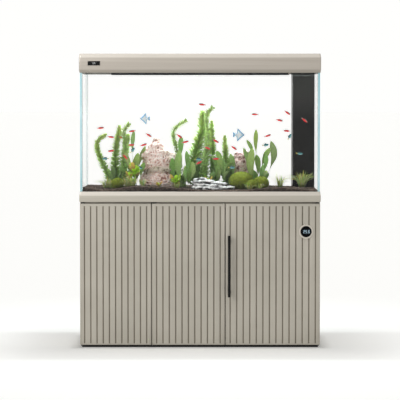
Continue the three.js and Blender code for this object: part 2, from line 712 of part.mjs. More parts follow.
// Each clump of plants as one plain bush that stands just clear of the gravel.
function plants() {
  for (const { name, x, y, halfX, halfY, top } of THICKETS) {
    const foot = gravelHeight(x, y) + 16 - top;
    const outline = [
      [0, foot],
      [0.6, foot],
      [1, foot * 0.6],
      [0.9, foot * 0.35],
      [0.4, 0],
      [0, 0],
    ];
    const bush = turned(0, 0, outline, 16);
    add(`plants_${name}`, bush.scale(halfX, halfY, 1).translate(x, y, top), MATERIAL.plant);
  }
}

levellingBoard();
cabinetPanels();
doors();
doorHandle();
waterDisplay();
touchLatches();
baseTrim();
glassTank();
overflowWeir();
drainPipes();
returnPipes();
sumpTank();
sumpFilter();
returnPump();
sumpHeater();
hoodFrame();
hoodLid();
lightBar();
badge();
aquascape();
plants();

export default aquarium;
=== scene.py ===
"""The looks of a display aquarium on its fluted cabinet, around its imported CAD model."""

import math
import random

import bmesh
import bpy
import numpy as np
from mathutils import Matrix, Quaternion, Vector, noise
from mathutils.bvhtree import BVHTree


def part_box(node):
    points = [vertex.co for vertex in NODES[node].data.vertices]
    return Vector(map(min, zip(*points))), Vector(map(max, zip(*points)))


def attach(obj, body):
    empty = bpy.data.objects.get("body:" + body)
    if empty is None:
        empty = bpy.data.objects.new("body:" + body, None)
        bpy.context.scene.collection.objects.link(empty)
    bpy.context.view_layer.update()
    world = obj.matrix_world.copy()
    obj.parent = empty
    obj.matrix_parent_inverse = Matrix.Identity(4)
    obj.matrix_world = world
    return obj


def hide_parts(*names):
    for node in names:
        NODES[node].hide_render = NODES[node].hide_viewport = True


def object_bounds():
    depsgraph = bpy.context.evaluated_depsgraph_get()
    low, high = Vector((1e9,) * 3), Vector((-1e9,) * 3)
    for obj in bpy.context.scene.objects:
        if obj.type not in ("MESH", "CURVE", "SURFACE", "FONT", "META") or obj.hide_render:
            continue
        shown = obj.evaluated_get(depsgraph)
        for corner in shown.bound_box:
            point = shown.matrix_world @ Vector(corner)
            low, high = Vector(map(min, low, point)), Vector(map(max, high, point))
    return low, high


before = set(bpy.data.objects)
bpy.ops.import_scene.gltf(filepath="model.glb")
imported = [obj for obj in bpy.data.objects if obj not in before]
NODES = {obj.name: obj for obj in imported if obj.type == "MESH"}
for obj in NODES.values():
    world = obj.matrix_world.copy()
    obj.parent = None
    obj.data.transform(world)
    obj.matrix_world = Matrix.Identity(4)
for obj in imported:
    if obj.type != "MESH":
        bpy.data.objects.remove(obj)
CAD_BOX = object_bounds()
MM = 0.001
UP = Vector((0, 0, 1))

# ---- places, from the frame ----
FRONT_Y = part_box("glass_front")[0].y
TANK_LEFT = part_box("glass_left")[1].x
TANK_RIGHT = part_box("glass_right")[0].x
TANK_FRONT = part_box("glass_front")[1].y
TANK_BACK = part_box("glass_back")[0].y
TANK_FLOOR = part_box("glass_floor")[1].z
WEIR_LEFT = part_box("weir_side_panel")[0].x
WEIR_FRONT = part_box("weir_front_panel")[0].y
WATER_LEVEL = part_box("light_bar")[0].z - 5 * MM


# ---- camera and light ----
LENS = 151  # millimetres
SENSOR = 36  # millimetres
PICTURE_SHIFT = -0.064
EYE_DISTANCE = 8.39  # metres from the front glass
EYE_HEIGHT = 1.192
EYE_TILT = 2.2  # degrees below level
FLOOR_REACH = 3000  # metres
ROOM_MIDDLE = (0, 0, 0.8)


def scene_object(name, data):
    """A new object in the scene that carries this data."""
    made = bpy.data.objects.new(name, data)
    bpy.context.scene.collection.objects.link(made)
    return made


def camera():
    """A far viewpoint straight in front, at the height of the tank's upper half."""
    data = bpy.data.cameras.new("camera")
    data.lens = LENS
    data.sensor_width = SENSOR
    data.shift_y = PICTURE_SHIFT
    eye = scene_object("camera", data)
    eye.location = (0, FRONT_Y - EYE_DISTANCE, EYE_HEIGHT)
    eye.rotation_euler = (math.radians(90 - EYE_TILT), 0, 0)
    bpy.context.scene.camera = eye


def area_light(name, place, target, size, power, colour=(1, 1, 1)):
    """A rectangular lamp at a place, aimed at a target."""
    data = bpy.data.lights.new(name, "AREA")
    data.shape = "RECTANGLE"
    data.size, data.size_y = size
    data.energy = power
    data.color = colour
    lamp = scene_object(name, data)
    lamp.location = place
    lamp.rotation_euler = (Vector(target) - Vector(place)).to_track_quat("-Z", "Y").to_euler()
    return lamp


def sky():
    """A white world all round, dimmer overhead."""
    world = bpy.data.worlds.new("studio")
    world.use_nodes = True
    nodes, links = world.node_tree.nodes, world.node_tree.links
    way = nodes.new("ShaderNodeTexCoord")
    split = nodes.new("ShaderNodeSeparateXYZ")
    fade = nodes.new("ShaderNodeMapRange")
    fade.interpolation_type = "SMOOTHSTEP"
    for name, value in (("From Min", 0.1), ("From Max", 0.5), ("To Min", 1.0), ("To Max", 0.2)):
        fade.inputs[name].default_value = value
    links.new(way.outputs["Generated"], split.inputs[0])
    links.new(split.outputs["Z"], fade.inputs["Value"])
    nodes["Background"].inputs["Color"].default_value = (1, 1, 0.985, 1)
    links.new(fade.outputs[0], nodes["Background"].inputs["Strength"])
    bpy.context.scene.world = world


def lamps():
    """A big soft box above and a small one at the left, which are returned, and the tank's own light."""
    top = area_light("top", (-0.7, -1.1, 5.6), ROOM_MIDDLE, (3, 2), 185)
    key = area_light("key", (-2.9, -2.9, 2.2), ROOM_MIDDLE, (0.8, 0.8), 62)
    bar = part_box("light_bar")
    middle = (bar[0] + bar[1]) / 2
    place = (0, middle.y, bar[0].z - 2 * MM)
    area_light("tank_light", place, (0, middle.y, 0), (0.88, 0.05), 9, (0.97, 0.99, 1))
    return top, key


def paper_floor():
    """A floor without an edge that glows almost white, with a painted shadow that dims it where it is close
    to the cabinet.
    """
    floor = bpy.data.meshes.new("floor")
    corners = [(x * FLOOR_REACH, y * FLOOR_REACH, 0) for x, y in ((-1, -1), (1, -1), (1, 1), (-1, 1))]
    floor.from_pydata(corners, [], [(0, 1, 2, 3)])
    piece = scene_object("floor", floor)
    paper = Look("floor", (231, 230, 227), 0.9)
    beyond = paper.node("ShaderNodeVectorMath", {0: paper.place}, operation="ABSOLUTE").outputs[0]
    corner = CAD_BOX[1]
    for operation, limit in (("SUBTRACT", (corner.x, corner.y, 0)), ("MAXIMUM", (0, 0, 0))):
        step = paper.node("ShaderNodeVectorMath", {0: beyond}, operation=operation)
        step.inputs[1].default_value = limit
        beyond = step.outputs[0]
    gap = paper.node("ShaderNodeVectorMath", {0: beyond}, operation="LENGTH").outputs["Value"]
    # near is the painted shadow at the cabinet's foot; far is the even glow beyond.
    near = ((0.0, (150, 150, 148)), (0.06, (206, 206, 204)))
    far = ((0.5, (248, 248, 246)), (1.0, (255, 255, 253)))
    paper.tree.links.new(paper.ramp(gap, *near, *far), paper.shader.inputs["Emission Color"])
    paper.shader.inputs["Emission Strength"].default_value = 0.745
    floor.materials.append(paper.material)
    return piece


def studio():
    """White paper under a white sky. The two soft boxes light everything but the paper."""
    bpy.context.scene.view_settings.view_transform = "Standard"
    sky()
    soft_boxes = lamps()
    spared = bpy.data.collections.new("spared")
    spared.objects.link(paper_floor())
    spared.collection_objects[0].light_linking.link_state = "EXCLUDE"
    for lamp in soft_boxes:
        lamp.light_linking.receiver_collection = spared


# ---- materials ----
def linear(colour):
    """A screen colour, 0 to 255, as linear light."""
    return tuple(((c / 255 + 0.055) / 1.055) ** 2.4 if c > 10 else c / 255 / 12.92 for c in colour)


def shaded(colour, step):
    """A screen colour made lighter by a step, or darker by a negative one."""
    return tuple(min(max(c + step, 0), 255) for c in colour)


def dimmed(colour, share):
    """A screen colour at this share of its brightness."""
    return tuple(c * share for c in colour)


class Look:
    """A material on one Principled shader, with its patterns in the object's own metres."""

    def __init__(self, name, colour, roughness=0.5, metallic=0.0, coat=0.0, sheen=0.0, shine=0.5):
        self.material = bpy.data.materials.new(name)
        self.material.use_nodes = True
        self.tree = self.material.node_tree
        self.shader = self.tree.nodes["Principled BSDF"]
        self.shader.inputs["Base Color"].default_value = (*linear(colour), 1)
        self.shader.inputs["Roughness"].default_value = roughness
        self.shader.inputs["Metallic"].default_value = metallic
        self.shader.inputs["Coat Weight"].default_value = coat
        self.shader.inputs["Coat Roughness"].default_value = 0.2
        self.shader.inputs["Sheen Weight"].default_value = sheen
        self.shader.inputs["Specular IOR Level"].default_value = shine
        self.place = self.tree.nodes.new("ShaderNodeTexCoord").outputs["Object"]
        self.normal = None

    def node(self, kind, links=None, **settings):
        """A new shader node. Each setting is one of its attributes or inputs, and links feed inputs."""
        made = self.tree.nodes.new(kind)
        for key, value in settings.items():
            if hasattr(made, key):
                setattr(made, key, value)
            else:
                socket = next(i for i in made.inputs if i.name.lower() == key)
                socket.default_value = value
        for socket, source in (links or {}).items():
            self.tree.links.new(source, made.inputs[socket])
        return made

    def stretched(self, x, y, z):
        """The object's coordinates, drawn out or squeezed along each axis."""
        return self.node("ShaderNodeMapping", {"Vector": self.place}, scale=(x, y, z)).outputs[0]

    def grain(self, scale, detail=3.0, roughness=0.5, place=None, distortion=0.0):
        """Cloudy noise between 0 and 1."""
        settings = {"scale": scale, "detail": detail, "roughness": roughness, "distortion": distortion}
        return self.node("ShaderNodeTexNoise", {"Vector": place or self.place}, **settings).outputs[0]

    def cells(self, scale):
        """How far each place is from the nearest of many scattered points."""
        return self.node("ShaderNodeTexVoronoi", {"Vector": self.place}, scale=scale).outputs["Distance"]

    def ramp(self, factor, *stops):
        """A colour for each level of a factor: stops are (level, screen colour)."""
        ramp = self.node("ShaderNodeValToRGB", {"Fac": factor})
        elements = ramp.color_ramp.elements
        while len(elements) < len(stops):
            elements.new(0.5)
        for element, (level, colour) in zip(elements, sorted(stops)):
            element.position = level
            element.color = (*linear(colour), 1)
        return ramp.outputs["Color"]

    def levels(self, factor, low, high, to_low, to_high):
        """The factor's range from low to high, mapped to another range."""
        found = self.node("ShaderNodeMapRange", {"Value": factor}, clamp=True)
        ends = {"From Min": low, "From Max": high, "To Min": to_low, "To Max": to_high}
        for socket, value in ends.items():
            found.inputs[socket].default_value = value
        return found.outputs[0]

    def mix(self, a, b, factor, mode="MIX"):
        """b over a. Each is a socket or a screen colour, and the factor a socket or a number."""
        made = self.tree.nodes.new("ShaderNodeMix")
        made.data_type = "RGBA"
        made.blend_type = mode
        for socket, value in ((made.inputs[6], a), (made.inputs[7], b)):
            if isinstance(value, tuple):
                socket.default_value = (*linear(value), 1)
            else:
                self.tree.links.new(value, socket)
        if isinstance(factor, (int, float)):
            made.inputs[0].default_value = factor
        else:
            self.tree.links.new(factor, made.inputs[0])
        return made.outputs[2]

    def colour(self, source):
        """Takes the base colour from a socket."""
        self.tree.links.new(source, self.shader.inputs["Base Color"])
        return self

    def mottled(self, factor, colour, darker, lighter, low=0.3, high=0.7):
        """Runs the base colour from darker to lighter than this one as a factor rises."""
        stops = (low, shaded(colour, -darker)), (high, shaded(colour, lighter))
        return self.colour(self.ramp(factor, *stops))

    def glow(self, colour, strength):
        """Gives off light of this screen colour."""
        self.shader.inputs["Emission Color"].default_value = (*linear(colour), 1)
        self.shader.inputs["Emission Strength"].default_value = strength

    def rough(self, source, low, high):
        """Runs the roughness from low to high as a noise rises."""
        self.tree.links.new(self.levels(source, 0.3, 0.7, low, high), self.shader.inputs["Roughness"])
        return self

    def bump(self, height, depth, strength=1.0):
        """Adds relief of this depth in metres, over any that is there already."""
        made = self.node("ShaderNodeBump", {"Height": height}, strength=strength, distance=depth)
        if self.normal is not None:
            self.tree.links.new(self.normal, made.inputs["Normal"])
        self.normal = made.outputs["Normal"]
        self.tree.links.new(self.normal, self.shader.inputs["Normal"])
        return self

    def see_through(self, tint, opacity):
        """Lets straight light through: a tinted clear shader under this one's own gloss."""
        nodes, links = self.tree.nodes, self.tree.links
        clear = nodes.new("ShaderNodeBsdfTransparent")
        clear.inputs["Color"].default_value = (*linear(tint), 1)
        mixed = nodes.new("ShaderNodeMixShader")
        if isinstance(opacity, (int, float)):
            mixed.inputs["Fac"].default_value = opacity
        else:
            links.new(opacity, mixed.inputs["Fac"])
        links.new(clear.outputs[0], mixed.inputs[1])
        links.new(self.shader.outputs[0], mixed.inputs[2])
        links.new(mixed.outputs[0], nodes["Material Output"].inputs["Surface"])
        return self


def satin_paint(name, colour):
    """Sprayed satin paint: a faint cloud of tone, a fine orange peel and a little uneven sheen."""
    look = Look(name, colour, 0.42, coat=0.12)
    look.mottled(look.grain(3.5, 4, 0.6), colour, 6, 6)
    look.rough(look.grain(22, 3), 0.36, 0.5)
    return look.bump(look.grain(420, 2), 0.00012, 0.5)


def brushed_paint(name, colour):
    """The hood's finish: satin with fine streaks along its length."""
    look = Look(name, colour, 0.36, metallic=0.15, coat=0.15)
    streaks = look.grain(60, 4, 0.65, look.stretched(0.02, 1, 1.6))
    fine = look.grain(420, 3, 0.6, look.stretched(0.01, 1, 1))
    look.mottled(streaks, colour, 6, 4, 0.32, 0.68)
    look.rough(fine, 0.3, 0.46)
    return look.bump(fine, 0.00008, 0.6)


def melamine(name, colour):
    """Board faced with a linen-like print, and a fine pressed grain."""
    look = Look(name, colour, 0.5)
    look.mottled(look.grain(90, 5, 0.6, look.stretched(0.08, 0.6, 1)), colour, 6, 4)
    return look.bump(look.grain(600, 2, place=look.stretched(0.2, 1, 1)), 0.0001, 0.4)


def plain_plastic(name, colour, roughness=0.4, metallic=0.0, shine=0.5):
    """Moulded plastic or coated metal: a little mottled, with a fine grain."""
    look = Look(name, colour, roughness, metallic, shine=shine)
    look.mottled(look.grain(14, 3), colour, 4, 4)
    look.rough(look.grain(60, 3), roughness - 0.05, roughness + 0.1)
    return look.bump(look.grain(900, 2), 0.00008, 0.5)


def rubber(name, colour):
    """Dull rubber with a pebbled face."""
    look = plain_plastic(name, colour, 0.75)
    return look.bump(look.cells(260), 0.0002, 0.5)


def acrylic_black():
    """Black acrylic with a faint dull film and specks, painted greyer towards the lamp above and near black
    low down: painted light and shade.
    """
    look = Look("weir_acrylic", (24, 24, 23), 0.3, shine=0.12)
    film = look.grain(7, 5, 0.65)
    height = look.node("ShaderNodeSeparateXYZ", {"Vector": look.place}).outputs["Z"]
    rise = look.levels(height, TANK_FLOOR, WATER_LEVEL, 0, 1)
    # Painted light and shade: near black by the tank floor, greyer up towards the lamp.
    tone = look.ramp(rise, (0.0, (11, 11, 10)), (0.6, (14, 14, 13)), (1.0, (62, 62, 60)))
    look.colour(look.mix(tone, (44, 46, 40), look.levels(film, 0.55, 0.85, 0, 0.25)))
    look.rough(film, 0.24, 0.45)
    return look.bump(look.grain(160, 3), 0.0001, 0.3)


def pane_glass(name, tint):
    """A pane's faces: clear, and a little white only where they are seen edge on: the shader's own gloss,
    with a painted reflection in the white base colour.
    """
    look = Look(name, (255, 255, 255), 0.02)
    facing = look.node("ShaderNodeLayerWeight", blend=0.5).outputs["Facing"]
    edge_on = look.node("ShaderNodeMath", {0: facing}, operation="POWER")
    sharpness = 5
    edge_on.inputs[1].default_value = sharpness
    look.bump(look.grain(1.4, 2), 0.0006, 0.04)
    # The white that grows edge on is a painted reflection, laid over the shader's real gloss.
    return look.see_through(tint, look.levels(edge_on.outputs[0], 0, 1, 0.008, 0.3))


def glass_edge():
    """A pane's sawn edge, where the glass shows its own blue-green."""
    look = Look("glass_edge", (158, 198, 204), 0.18, coat=0.5)
    run = look.grain(3.2, 3, place=look.stretched(0.3, 0.3, 1))
    look.colour(look.ramp(run, (0.35, (138, 184, 192)), (0.65, (184, 216, 220))))
    return look.bump(look.grain(300, 2, place=look.stretched(1, 1, 0.1)), 0.0001, 0.4)


def water():
    """Still water: clear, with a gloss that grows towards a grazing view, and slow ripples."""
    look = Look("water", (235, 248, 250), 0.03)
    fresnel = look.node("ShaderNodeFresnel", ior=1.2).outputs[0]
    look.bump(look.grain(16, 3, distortion=0.6), 0.004, 0.25)
    return look.see_through((238, 250, 252), fresnel)


def silicone():
    """Clear silicone, slightly milky."""
    look = Look("silicone", (214, 216, 215), 0.3)
    look.bump(look.grain(120, 3), 0.0002, 0.4)
    return look.see_through((250, 251, 251), 0.3)


def tinted(name, roughness=0.55, coat=0.0, relief=0.0003, scale=260, translucent=0.0, shine=0.3):
    """A piece whose colour is painted on its vertices, with a fine mottle and relief over it."""
    look = Look(name, (128, 128, 128), roughness, coat=coat, shine=shine)
    paint = look.node("ShaderNodeAttribute", attribute_name="tint").outputs["Color"]
    mottle = look.ramp(look.grain(scale, 3), (0.3, (205, 205, 205)), (0.7, (255, 255, 255)))
    look.colour(look.mix(paint, mottle, 1.0, "MULTIPLY"))
    look.shader.inputs["Subsurface Weight"].default_value = translucent
    look.shader.inputs["Subsurface Radius"].default_value = (0.004, 0.006, 0.002)
    return look.bump(look.grain(scale * 2, 2), relief, 0.6)


# ---- shaping ----
EDGE_ANGLE = 30  # degrees
FLAT_ANGLE = 0.5  # degrees
WELD_GAP = 1e-5


def turns(sides):
    """The angles of a full turn in equal parts."""
    return [2 * math.pi * i / sides for i in range(sides)]


def softened(name, look, width, dissolve=True):
    """Gives a CAD node its material, and eased edges of this width in millimetres."""
    node = NODES[name]
    mesh = node.data
    mesh.materials.clear()
    mesh.materials.append(look.material)
    if "custom_normal" in mesh.attributes:
        mesh.attributes.remove(mesh.attributes["custom_normal"])
    mesh.shade_smooth()
    node.modifiers.new("weld", "WELD").merge_threshold = WELD_GAP
    if dissolve:
        planar = node.modifiers.new("flat faces", "DECIMATE")
        planar.decimate_type = "DISSOLVE"
        planar.angle_limit = math.radians(FLAT_ANGLE)
    ease = node.modifiers.new("eased edges", "BEVEL")
    ease.width = width * MM
    ease.segments = 2
    ease.limit_method = "ANGLE"
    ease.angle_limit = math.radians(EDGE_ANGLE)
    ease.harden_normals = False
    sharpen(node, EDGE_ANGLE)
    return node


def patch(piece, look, chosen):
    """Gives the faces that chosen(face) picks another look."""
    piece.data.materials.append(look.material)
    for face in piece.data.polygons:
        if chosen(face):
            face.material_index = len(piece.data.materials) - 1


def sharpen(piece, angle):
    """Faces that meet at less than this angle, in degrees, shade as one smooth surface."""
    smooth = piece.modifiers.new("smooth shading", "NODES")
    group = bpy.data.node_groups.get(f"smooth_{angle}")
    if group is None:
        group = bpy.data.node_groups.new(f"smooth_{angle}", "GeometryNodeTree")
        group.interface.new_socket("Geometry", in_out="INPUT", socket_type="NodeSocketGeometry")
        group.interface.new_socket("Geometry", in_out="OUTPUT", socket_type="NodeSocketGeometry")
        enter = group.nodes.new("NodeGroupInput")
        leave = group.nodes.new("NodeGroupOutput")
        edge = group.nodes.new("GeometryNodeInputMeshEdgeAngle")
        compare = group.nodes.new("FunctionNodeCompare")
        compare.operation = "GREATER_THAN"
        compare.inputs[1].default_value = math.radians(angle)
        by_edge = group.nodes.new("GeometryNodeSetShadeSmooth")
        by_edge.domain = "EDGE"
        by_face = group.nodes.new("GeometryNodeSetShadeSmooth")
        by_face.domain = "FACE"
        invert = group.nodes.new("FunctionNodeBooleanMath")
        invert.operation = "NOT"
        links = group.links
        links.new(edge.outputs["Unsigned Angle"], compare.inputs[0])
        links.new(compare.outputs[0], invert.inputs[0])
        links.new(enter.outputs[0], by_face.inputs["Geometry"])
        links.new(by_face.outputs[0], by_edge.inputs["Geometry"])
        links.new(invert.outputs[0], by_edge.inputs["Shade Smooth"])
        links.new(by_edge.outputs[0], leave.inputs[0])
    smooth.node_group = group


def circle_point(centre, side, lift, radius, angle):
    """A point on a circle across a tube or a disc, in the plane of side and lift."""
    return centre + side * (radius * math.cos(angle)) + lift * (radius * math.sin(angle))


class Shape:
    """Collects vertices, faces and a tint for each vertex, and becomes one piece."""

    def __init__(self):
        self.points = []
        self.faces = []
        self.tints = []

    def add(self, points, faces, tint):
        """tint is one screen colour for all the points, or one for each."""
        first = len(self.points)
        self.points += [tuple(p) for p in points]
        self.faces += [tuple(first + i for i in face) for face in faces]
        self.tints += [linear(t) for t in tint] if isinstance(tint, list) else [linear(tint)] * len(points)

    def loft(self, rings, tint):
        """A closed skin through rings of equal count. tint is one colour, or one a ring, or one a point."""
        count = len(rings[0])
        points = [p for ring in rings for p in ring]
        faces = []
        for level in range(len(rings) - 1):
            for i in range(count):
                a, b = level * count + i, level * count + (i + 1) % count
                faces.append((a, b, b + count, a + count))
        last = (len(rings) - 1) * count
        faces.append(tuple(range(count - 1, -1, -1)))
        faces.append(tuple(range(last, last + count)))
        if isinstance(tint, list) and len(tint) == len(rings):
            tint = [t for t in tint for _ in range(count)]
        self.add(points, faces, tint)

    def block(self, low, high, tint):
        """A box between two corners."""
        (x0, y0, z0), (x1, y1, z1) = low, high
        ring = [(x0, y0), (x1, y0), (x1, y1), (x0, y1)]
        self.loft([[(x, y, z) for x, y in ring] for z in (z0, z1)], tint)

    def tube(self, path, radius, tint):
        """A six-sided tube along a path."""
        rings = []
        for centre, (side, lift) in zip(path, sections(path)):
            rings.append([circle_point(centre, side, lift, radius, a) for a in turns(6)])
        self.loft(rings, tint)

    def piece(self, name, look, body="root", slot=None, stands_for=(), smooth=True):
        """Makes the piece, with the tints as a colour attribute."""
        mesh = bpy.data.meshes.new(name)
        mesh.from_pydata(self.points, [], self.faces)
        tint = mesh.attributes.new("tint", "FLOAT_COLOR", "POINT")
        colours = np.array([(*t, 1) for t in self.tints], np.float32)
        tint.data.foreach_set("color", colours.ravel())
        mesh.validate()
        if smooth:
            mesh.shade_smooth()
        return placed(name, mesh, look, body, stands_for)


def placed(name, mesh, look, body="root", stands_for=()):
    """An object with this mesh and look, which rides on a body and may stand for CAD nodes."""
    mesh.materials.clear()
    mesh.materials.append(look.material)
    piece = scene_object(name, mesh)
    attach(piece, body)
    if stands_for:
        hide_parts(*stands_for)
    return piece


def sections(path):
    """Two directions across a path at each of its points, turned as little as possible along it."""
    found = []
    side = None
    for i in range(len(path)):
        ahead = (path[min(i + 1, len(path) - 1)] - path[max(i - 1, 0)]).normalized()
        if side is None:
            side = ahead.orthogonal().normalized()
        side = (side - ahead * side.dot(ahead)).normalized()
        found.append((side, ahead.cross(side)))
    return found


def smooth_path(points, steps):
    """A Catmull-Rom curve through points, with this many steps between each two."""
    points = [Vector(p) for p in points]
    ends = [points[0] * 2 - points[1], *points, points[-1] * 2 - points[-2]]
    path = []
    for a, b, c, d in zip(ends, ends[1:], ends[2:], ends[3:]):
        for step in range(steps):
            t = step / steps
            spot = 2 * b + (c - a) * t
            spot += (2 * a - 5 * b + 4 * c - d) * t**2
            spot += (3 * b - a - 3 * c + d) * t**3
            path.append(0.5 * spot)
    return [*path, points[-1]]


# ---- cabinet, hood and tank ----
def cabinet():
    """Painted doors whose grooves are painted darker as painted shade, painted sides, faced boards and the
    fittings.
    """
    door_paint = satin_paint("door_paint", (170, 164, 152))
    # The grooves' walls and floors get a darker copy of the door paint: painted shade in the recesses.
    shade = satin_paint("groove_painted_shade", (128, 121, 108))
    for name in ("door_left", "door_middle", "door_right"):
        node = softened(name, door_paint, 0.7)
        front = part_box(name)[0].y
        rim, floor = front + 1.5 * MM, front + 4.7 * MM
        patch(node, shade, lambda face: rim < face.center.y < floor and face.normal.y < 0.2)
    side_paint = satin_paint("side_paint", (164, 158, 146))
    for name in ("cabinet_side_left", "cabinet_side_right"):
        softened(name, side_paint, 1.0)
    board = melamine("board", (172, 165, 151))
    for part in ("floor", "partition", "shelf", "deck", "back"):
        softened(f"cabinet_{part}", board, 0.5)
    softened("levelling_board", rubber("levelling_mat", (24, 23, 22)), 1.0)
    steel = plain_plastic("pivot_steel", (48, 49, 51), 0.4, metallic=0.6)
    for name in NODES:
        if name.startswith("pivot_"):
            softened(name, steel, 0.3)
    softened("door_handle", plain_plastic("handle_black", (15, 16, 16), 0.4, shine=0.15), 1.6)
    grey = plain_plastic("latch_grey", (150, 152, 153), 0.5)
    white = plain_plastic("latch_white", (226, 225, 219), 0.45)
    for side in ("left", "middle"):
        softened(f"touch_latch_{side}", grey, 0.8)
        softened(f"latch_plunger_{side}", white, 0.8)
    softened("display_bezel", satin_paint("bezel_paint", (186, 179, 167)), 0.5)
    softened("display_module", plain_plastic("display_lens", (6, 7, 9), 0.16, shine=0.05), 0.4)


def hood_and_trim():
    """The hood, its lid and lamp, and the tank's base trim, with a painted highlight on the upward bevels
    and painted shade on the hood's downward ones.
    """
    hood = brushed_paint("hood_paint", (172, 164, 154))
    frame_piece = softened("hood_frame", hood, 0.8)
    softened("hood_lid", hood, 0.8)
    trim = softened("base_trim", brushed_paint("trim_paint", (176, 170, 158)), 0.8)
    # Faces that slope upward get a lighter copy of the paint: a painted highlight.
    lit = brushed_paint("bevel_painted_highlight", (204, 197, 187))
    for piece in (frame_piece, trim):
        patch(piece, lit, lambda face: 0.08 < face.normal.z < 0.5)
    # The hood's faces that slope downward get a darker copy of the paint: painted shade.
    unlit = brushed_paint("under_bevel_painted_shade", (150, 143, 132))
    patch(frame_piece, unlit, lambda face: -0.5 < face.normal.z < -0.08)
    softened("badge_plate", plain_plastic("badge_black", (12, 12, 13), 0.25, shine=0.15), 0.5)
    softened("light_bar", plain_plastic("light_housing", (40, 41, 42), 0.4, metallic=0.5), 0.8)
    lens = Look("light_lens", (240, 243, 244), 0.35)
    lens.glow((236, 246, 255), 0.8)
    lens.bump(lens.cells(240), 0.0003, 0.5)
    softened("light_diffuser", lens, 0.3)


def panes():
    """Clear faces and blue-green sawn edges, painted paler at the rear where they are seen through: painted
    light.
    """
    glass, edge = pane_glass("pane_glass", (255, 255, 255)), glass_edge()
    # Painted light: the rear end faces of the side panes get a paler, partly clear copy of the edge colour.
    pale = Look("glass_edge_rear", (206, 212, 211), 0.2)
    pale.bump(pale.grain(300, 2, place=pale.stretched(1, 1, 0.1)), 0.0001, 0.4)
    pale.see_through((246, 250, 250), 0.3)
    thin_axis = {"left": 0, "right": 0, "front": 1, "back": 1, "floor": 2}
    thin_axis |= {"brace_front": 2, "brace_back": 2}
    for part, axis in thin_axis.items():
        node = softened(f"glass_{part}", glass, 0.6, dissolve=False)
        patch(node, edge, lambda face: abs(face.normal[axis]) < 0.5)
        patch(node, pale, lambda face: axis == 0 and face.normal.y > 0.5)
    for name in ("weir_front_panel", "weir_side_panel"):
        softened(name, acrylic_black(), 0.6)


def seams():
    """Clear beads of silicone in the tank's inner corners."""
    shape = Shape()
    bead = 4 * MM
    low, high = TANK_FLOOR + 0.2 * MM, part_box("glass_front")[1].z - 14 * MM
    corners = [
        (TANK_LEFT, TANK_FRONT, 1, 1),
        (TANK_RIGHT, TANK_FRONT, -1, 1),
        (TANK_RIGHT, TANK_BACK, -1, -1),
        (TANK_LEFT, TANK_BACK, 1, -1),
    ]
    hollow = [(0, 0), (bead, 0), (bead * 0.5, bead * 0.32), (bead * 0.32, bead * 0.5), (0, bead)]
    for x, y, right, back in corners:
        ring = [(x + right * a, y + back * b) for a, b in hollow]
        shape.loft([[(a, b, z) for a, b in ring] for z in (low, high)], (214, 216, 215))
    shape.piece("silicone_seams", silicone(), slot="tank_glass", smooth=False)


def seven_segments(text, low, height, thickness):
    """The digits 2, 5 and 6 and a point, as bars on the plane y = low.y, from the lower left corner."""
    lit = {"2": "abged", "5": "afgcd", "6": "afgedc"}
    width, bar, half = height * 0.5, height * 0.12, height / 2
    bars = {
        "a": ((0, height - bar), (width, height)),
        "b": ((width - bar, half), (width, height)),
        "c": ((width - bar, 0), (width, half)),
        "d": ((0, 0), (width, bar)),
        "e": ((0, 0), (bar, half)),
        "f": ((0, half), (bar, height)),
        "g": ((0, half - bar / 2), (width, half + bar / 2)),
    }
    shape = Shape()
    x = 0
    for letter in text:
        point = letter == "."
        parts = [((0, 0), (bar, bar))] if point else [bars[k] for k in lit[letter]]
        for (x0, z0), (x1, z1) in parts:
            lower = (low.x + x + x0, low.y - thickness, low.z + z0)
            upper = (low.x + x + x1, low.y, low.z + z1)
            shape.block(lower, upper, (190, 236, 240))
        x += bar * 2 if point else width + bar * 1.6
    return shape


def display_digits():
    """A water temperature, glowing faintly on the round display."""
    low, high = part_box("display_module")
    centre = (low + high) / 2
    look = Look("display_glow", (150, 172, 184), 0.3)
    look.glow((176, 200, 214), 0.35)
    look.bump(look.grain(500, 2), 0.0001, 0.3)
    corner = Vector((centre.x - 13.5 * MM, low.y - 0.05 * MM, centre.z - 7.5 * MM))
    digits = seven_segments("25.6", corner, 15 * MM, 0.3 * MM)
    digits.piece("display_digits", look, "right_door", "display_black", smooth=False)


def badge_mark():
    """A generic mark of three small waves."""
    low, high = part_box("badge_plate")
    centre = (low + high) / 2
    step, row_gap, swing = 1.4 * MM, 3.4 * MM, 0.9 * MM
    shape = Shape()
    for row in (-1, 0, 1):
        path = []
        for i in range(13):
            z = centre.z + row * row_gap + swing * math.sin(i * math.pi / 3)
            path.append(Vector((centre.x + (i - 6) * step, low.y, z)))
        shape.tube(path, 0.55 * MM, (225, 228, 228))
    shape.piece("badge_mark", plain_plastic("badge_print", (190, 192, 192), 0.4), "root", "badge_black")


def disc(shape, centre, axis, radius, depth, tint, dome=0.0):
    """A flat or domed round head that rises along an axis from a centre."""
    side = axis.orthogonal().normalized()
    lift = axis.cross(side)
    rings = []
    for share, rise in ((1, 0), (1, 0.7), (0.86, 1), (0.4, 1 + dome)):
        up = axis * (depth * rise)
        rings.append([circle_point(centre, side, lift, radius * share, a) + up for a in turns(24)])
    shape.loft(rings, tint)


